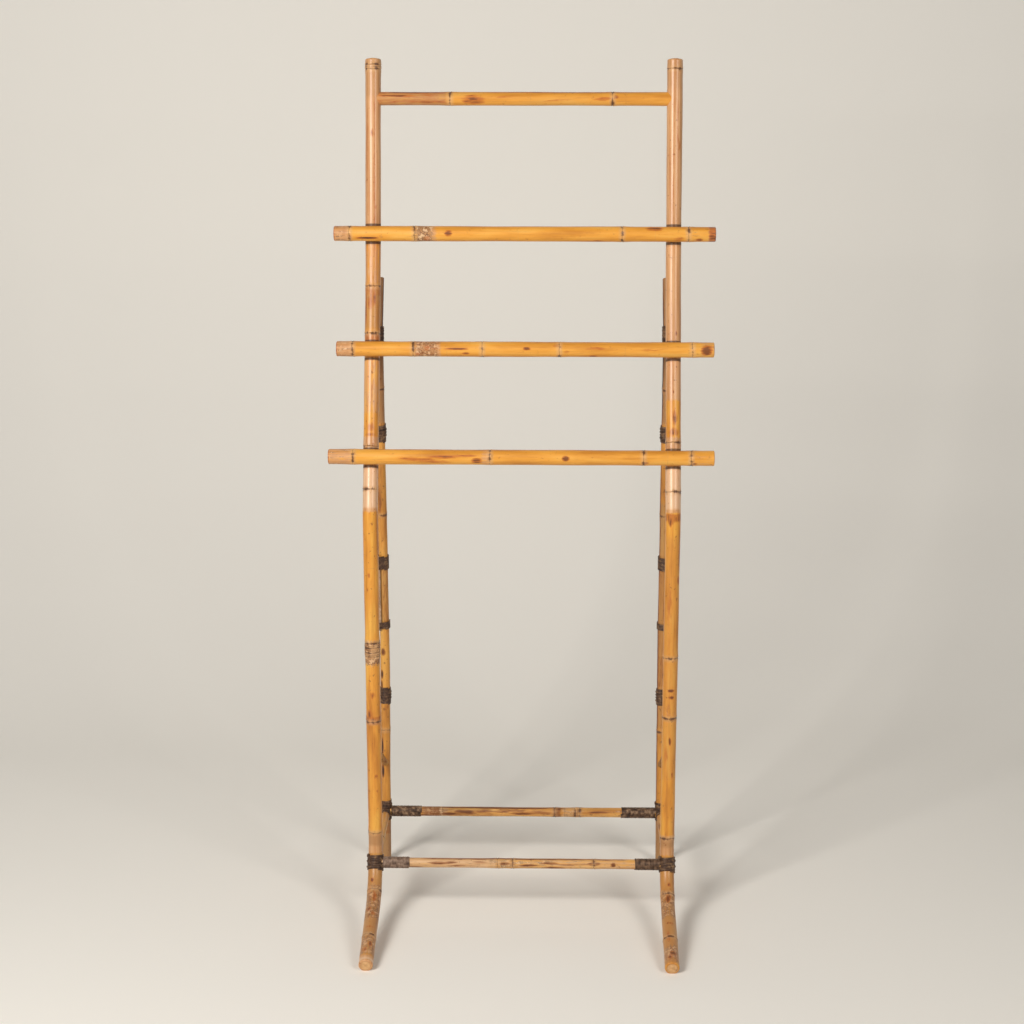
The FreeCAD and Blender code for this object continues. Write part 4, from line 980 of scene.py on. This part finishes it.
# bindings of the rear legs, and the splints that two of them hold
bindings = {"low": {"z": 320.0, "high": 30.0}, "splintLow": {"z": 457.0, "high": 13.0},
            "splintHigh": {"z": 578.0, "high": 25.0}, "upper": {"z": 818.0, "high": 31.0}}
binding = {"lift": 0.8, "start": 0.6, "overLift": 2.0, "overStart": 2.6, "overHalf": (0.7, 1.3),
           "overFrom": 0.6, "overTo": 0.7, "overTurns": 0.3, "beltLift": 1.2, "beltHalf": (0.85, 1.35)}
splint = {"radius": 2.4, "gap": 0.2, "bearing": math.radians(40), "pastLow": 10, "pastHigh": 13,
          "half": (2.1, 3.3), "steps": 30, "sides": 12, "endShare": 0.45, "endRun": 6}
apart = rear["radius"] + splint["radius"] + splint["gap"]
splintSpots = {"left": [], "right": []}
for word, side in bothSides:
    line = rearLine(side)
    strips = []
    for key, spec in bindings.items():
        at = alongAtZ(line, spec["z"])
        half = spec["high"] / 2
        turns = spec["high"] / strip["pitch"]
        if key.startswith("splint"):
            spot = sectionFrame(*pointAt(line, at), forward)  # first axis forward, second to +X
            across = side * apart * math.sin(splint["bearing"])
            offset = Vector((apart * math.cos(splint["bearing"]), across, 0))
            belt = beltLine(spot, rear["radius"] + binding["beltLift"],
                            splint["radius"] + binding["beltLift"], offset, -half, half, turns)
            strips.append((*belt, binding["beltHalf"]))
            splintSpots[word].append(((spot @ offset.to_4d()).xyz, (spot.to_3x3() @ offset).normalized()))
        else:
            close = woundLine(line, at - half, at + half, turns, rear["radius"] + binding["lift"],
                              binding["start"])
            strips.append((*close, strip["half"]))
            over = woundLine(line, at - half * binding["overFrom"], at + half * binding["overTo"],
                             turns * binding["overTurns"], rear["radius"] + binding["overLift"],
                             binding["overStart"])
            strips.append((*over, binding["overHalf"]))
    canePiece(f"{word}LegBindings", f"{word}_leg_bindings", strips, cane["darkCane"])
bm = bmesh.new()
markLayers(bm)
for (low, outward), (high, _) in splintSpots.values():
    part = bmesh.new()
    layers = markLayers(part)
    way = (high - low).normalized()
    line = straightLine(low - way * splint["pastLow"], high + way * splint["pastHigh"])
    length = lineLength(line)
    stations = []
    for i in range(splint["steps"] + 1):
        s = length * i / splint["steps"]
        point, direction = pointAt(line, s)
        full = min(1.0, splint["endShare"] + min(s, length - s) / splint["endRun"])  # thinned ends
        stations.append({"s": s, "a": splint["half"][0] * full, "b": splint["half"][1] * full,
                         "frame": sectionFrame(point, direction, outward)})
    for ring, station in zip(ringTube(part, stations, splint["sides"]), stations):
        for v in ring:
            v[layers["straight"]] = (v.co.x, v.co.y, station["s"] * mm)
    bmesh.ops.holes_fill(part, edges=[e for e in part.edges if len(e.link_faces) == 1], sides=0)
    addInto(bm, part)
piece = finishPiece("rearLegSplints", bm, cane["paleCane"])
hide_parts("rear_leg_splints")

# whippings round the bends of the rear legs, under their heads
whipping = {"z": 990.0, "below": 18, "above": 16, "turns": 13, "lift": 0.7, "start": 0.4, "wobble": 0.2,
            "half": (0.75, 1.45)}
strips = []
for word, side in bothSides:
    line = rearLine(side)
    at = alongAtZ(line, whipping["z"])
    wound = woundLine(line, at - whipping["below"], at + whipping["above"], whipping["turns"],
                      rear["radius"] + whipping["lift"], whipping["start"], whipping["wobble"])
    strips.append((*wound, whipping["half"]))
canePiece("headLashings", "head_lashings", strips, cane["darkCane"])

# dowels stay as the frame has them
for name in ("rail_pins", "head_pins"):
    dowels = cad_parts[name]
    dowels.data.materials.clear()
    dowels.data.materials.append(dowelWood)
print("cane made")

# studio, in metres: pale floor that sweeps up behind, two soft lamps, a pale room
studio = {"halfWidth": 1.8, "front": -3.2, "curveY": 0.75, "curveR": 1.0, "curveSteps": 24, "wallRise": 2.2,
          "paper": "#f9f7f2", "room": "#f6f3ee", "roomLight": 0.12, "roomSeen": 0.62}
lamps = {"keyLamp": {"place": (-1.65, -2.4, 2.25), "target": (-0.1, 0.2, 0.8), "watts": 88},
         "fillLamp": {"place": (1.95, -2.5, 2.3), "target": (0, 0.1, 0.8), "watts": 40}}
lampFace = {"width": 1.0, "height": 1.4, "colour": "#fffaf3"}
sweepMat, tree = emptyMaterial("paleSweep")  # dull paper, seen from its front only so that back views see in
paper = addNode(tree, "ShaderNodeBsdfPrincipled",
                {"Base Color": studio["paper"], "Roughness": 0.9, "Specular IOR Level": 0.1})
behind = addNode(tree, "ShaderNodeNewGeometry", out="Backfacing")
clear = addNode(tree, "ShaderNodeBsdfTransparent")
oneSided = addNode(tree, "ShaderNodeMixShader", {0: behind, 1: paper, 2: clear})
addNode(tree, "ShaderNodeOutputMaterial", {"Surface": oneSided})
bm = bmesh.new()
floorEnds = [bm.verts.new((-studio["halfWidth"], y, 0.0)) for y in (studio["front"], studio["curveY"])]
bm.edges.new(floorEnds)
curveCentre = (-studio["halfWidth"], studio["curveY"], studio["curveR"])
made = bmesh.ops.spin(bm, geom=[floorEnds[1]], cent=curveCentre, axis=(1, 0, 0), angle=math.pi / 2,
                      steps=studio["curveSteps"])
tail = [v for v in made["geom_last"] if isinstance(v, bmesh.types.BMVert)]
made = bmesh.ops.extrude_vert_indiv(bm, verts=tail)
bmesh.ops.translate(bm, vec=(0, 0, studio["wallRise"]), verts=made["verts"])
made = bmesh.ops.extrude_edge_only(bm, edges=bm.edges[:])
bmesh.ops.translate(bm, vec=(2 * studio["halfWidth"], 0, 0),
                    verts=[v for v in made["geom"] if isinstance(v, bmesh.types.BMVert)])
mesh = bpy.data.meshes.new("sweep")
bm.to_mesh(mesh)
bm.free()
for polygon in mesh.polygons:
    polygon.use_smooth = True
sweep = bpy.data.objects.new("sweep", mesh)
bpy.context.collection.objects.link(sweep)
mesh.materials.append(sweepMat)

for name, spec in lamps.items():
    data = bpy.data.lights.new(name, "AREA")
    data.shape = "RECTANGLE"
    data.size = lampFace["width"]
    data.size_y = lampFace["height"]
    data.energy = spec["watts"]
    data.color = hexLinear(lampFace["colour"])[:3]
    lamp = bpy.data.objects.new(name, data)
    lamp.location = spec["place"]
    lamp.rotation_euler = (Vector(spec["target"]) - Vector(spec["place"])).to_track_quat("-Z", "Y").to_euler()
    bpy.context.collection.objects.link(lamp)
world = bpy.data.worlds.new("paleRoom")
bpy.context.scene.world = world
world.use_nodes = True
room = world.node_tree
room.nodes.clear()
seen = addNode(room, "ShaderNodeLightPath", out="Is Camera Ray")
path = seen.node
for kind in ("Is Glossy Ray", "Is Transmission Ray"):
    seen = addNode(room, "ShaderNodeMath", {0: seen, 1: path.outputs[kind]}, operation="MAXIMUM")
strength = addNode(room, "ShaderNodeMapRange",
                   {"Value": seen, "To Min": studio["roomLight"], "To Max": studio["roomSeen"]})
glow = addNode(room, "ShaderNodeBackground", {"Color": studio["room"], "Strength": strength})
addNode(room, "ShaderNodeOutputWorld", {"Surface": glow})

# camera at the photograph's view: focal length in pixels of its frame, degrees, metres
view = {"focalPx": 2200.0, "framePx": 1024, "sensorMm": 36.0, "pitch": 14.5, "yaw": 1.185,
        "place": (0.057, -3.513, 1.626)}
cameraData = bpy.data.cameras.new("camera")
cameraData.sensor_width = view["sensorMm"]
cameraData.lens = view["focalPx"] / view["framePx"] * view["sensorMm"]
camera = bpy.data.objects.new("camera", cameraData)
camera.location = view["place"]
camera.rotation_euler = (math.radians(90 - view["pitch"]), 0, math.radians(view["yaw"]))
bpy.context.collection.objects.link(camera)
bpy.context.scene.camera = camera
bpy.context.scene.view_settings.view_transform = "Standard"

print("studio and camera made")
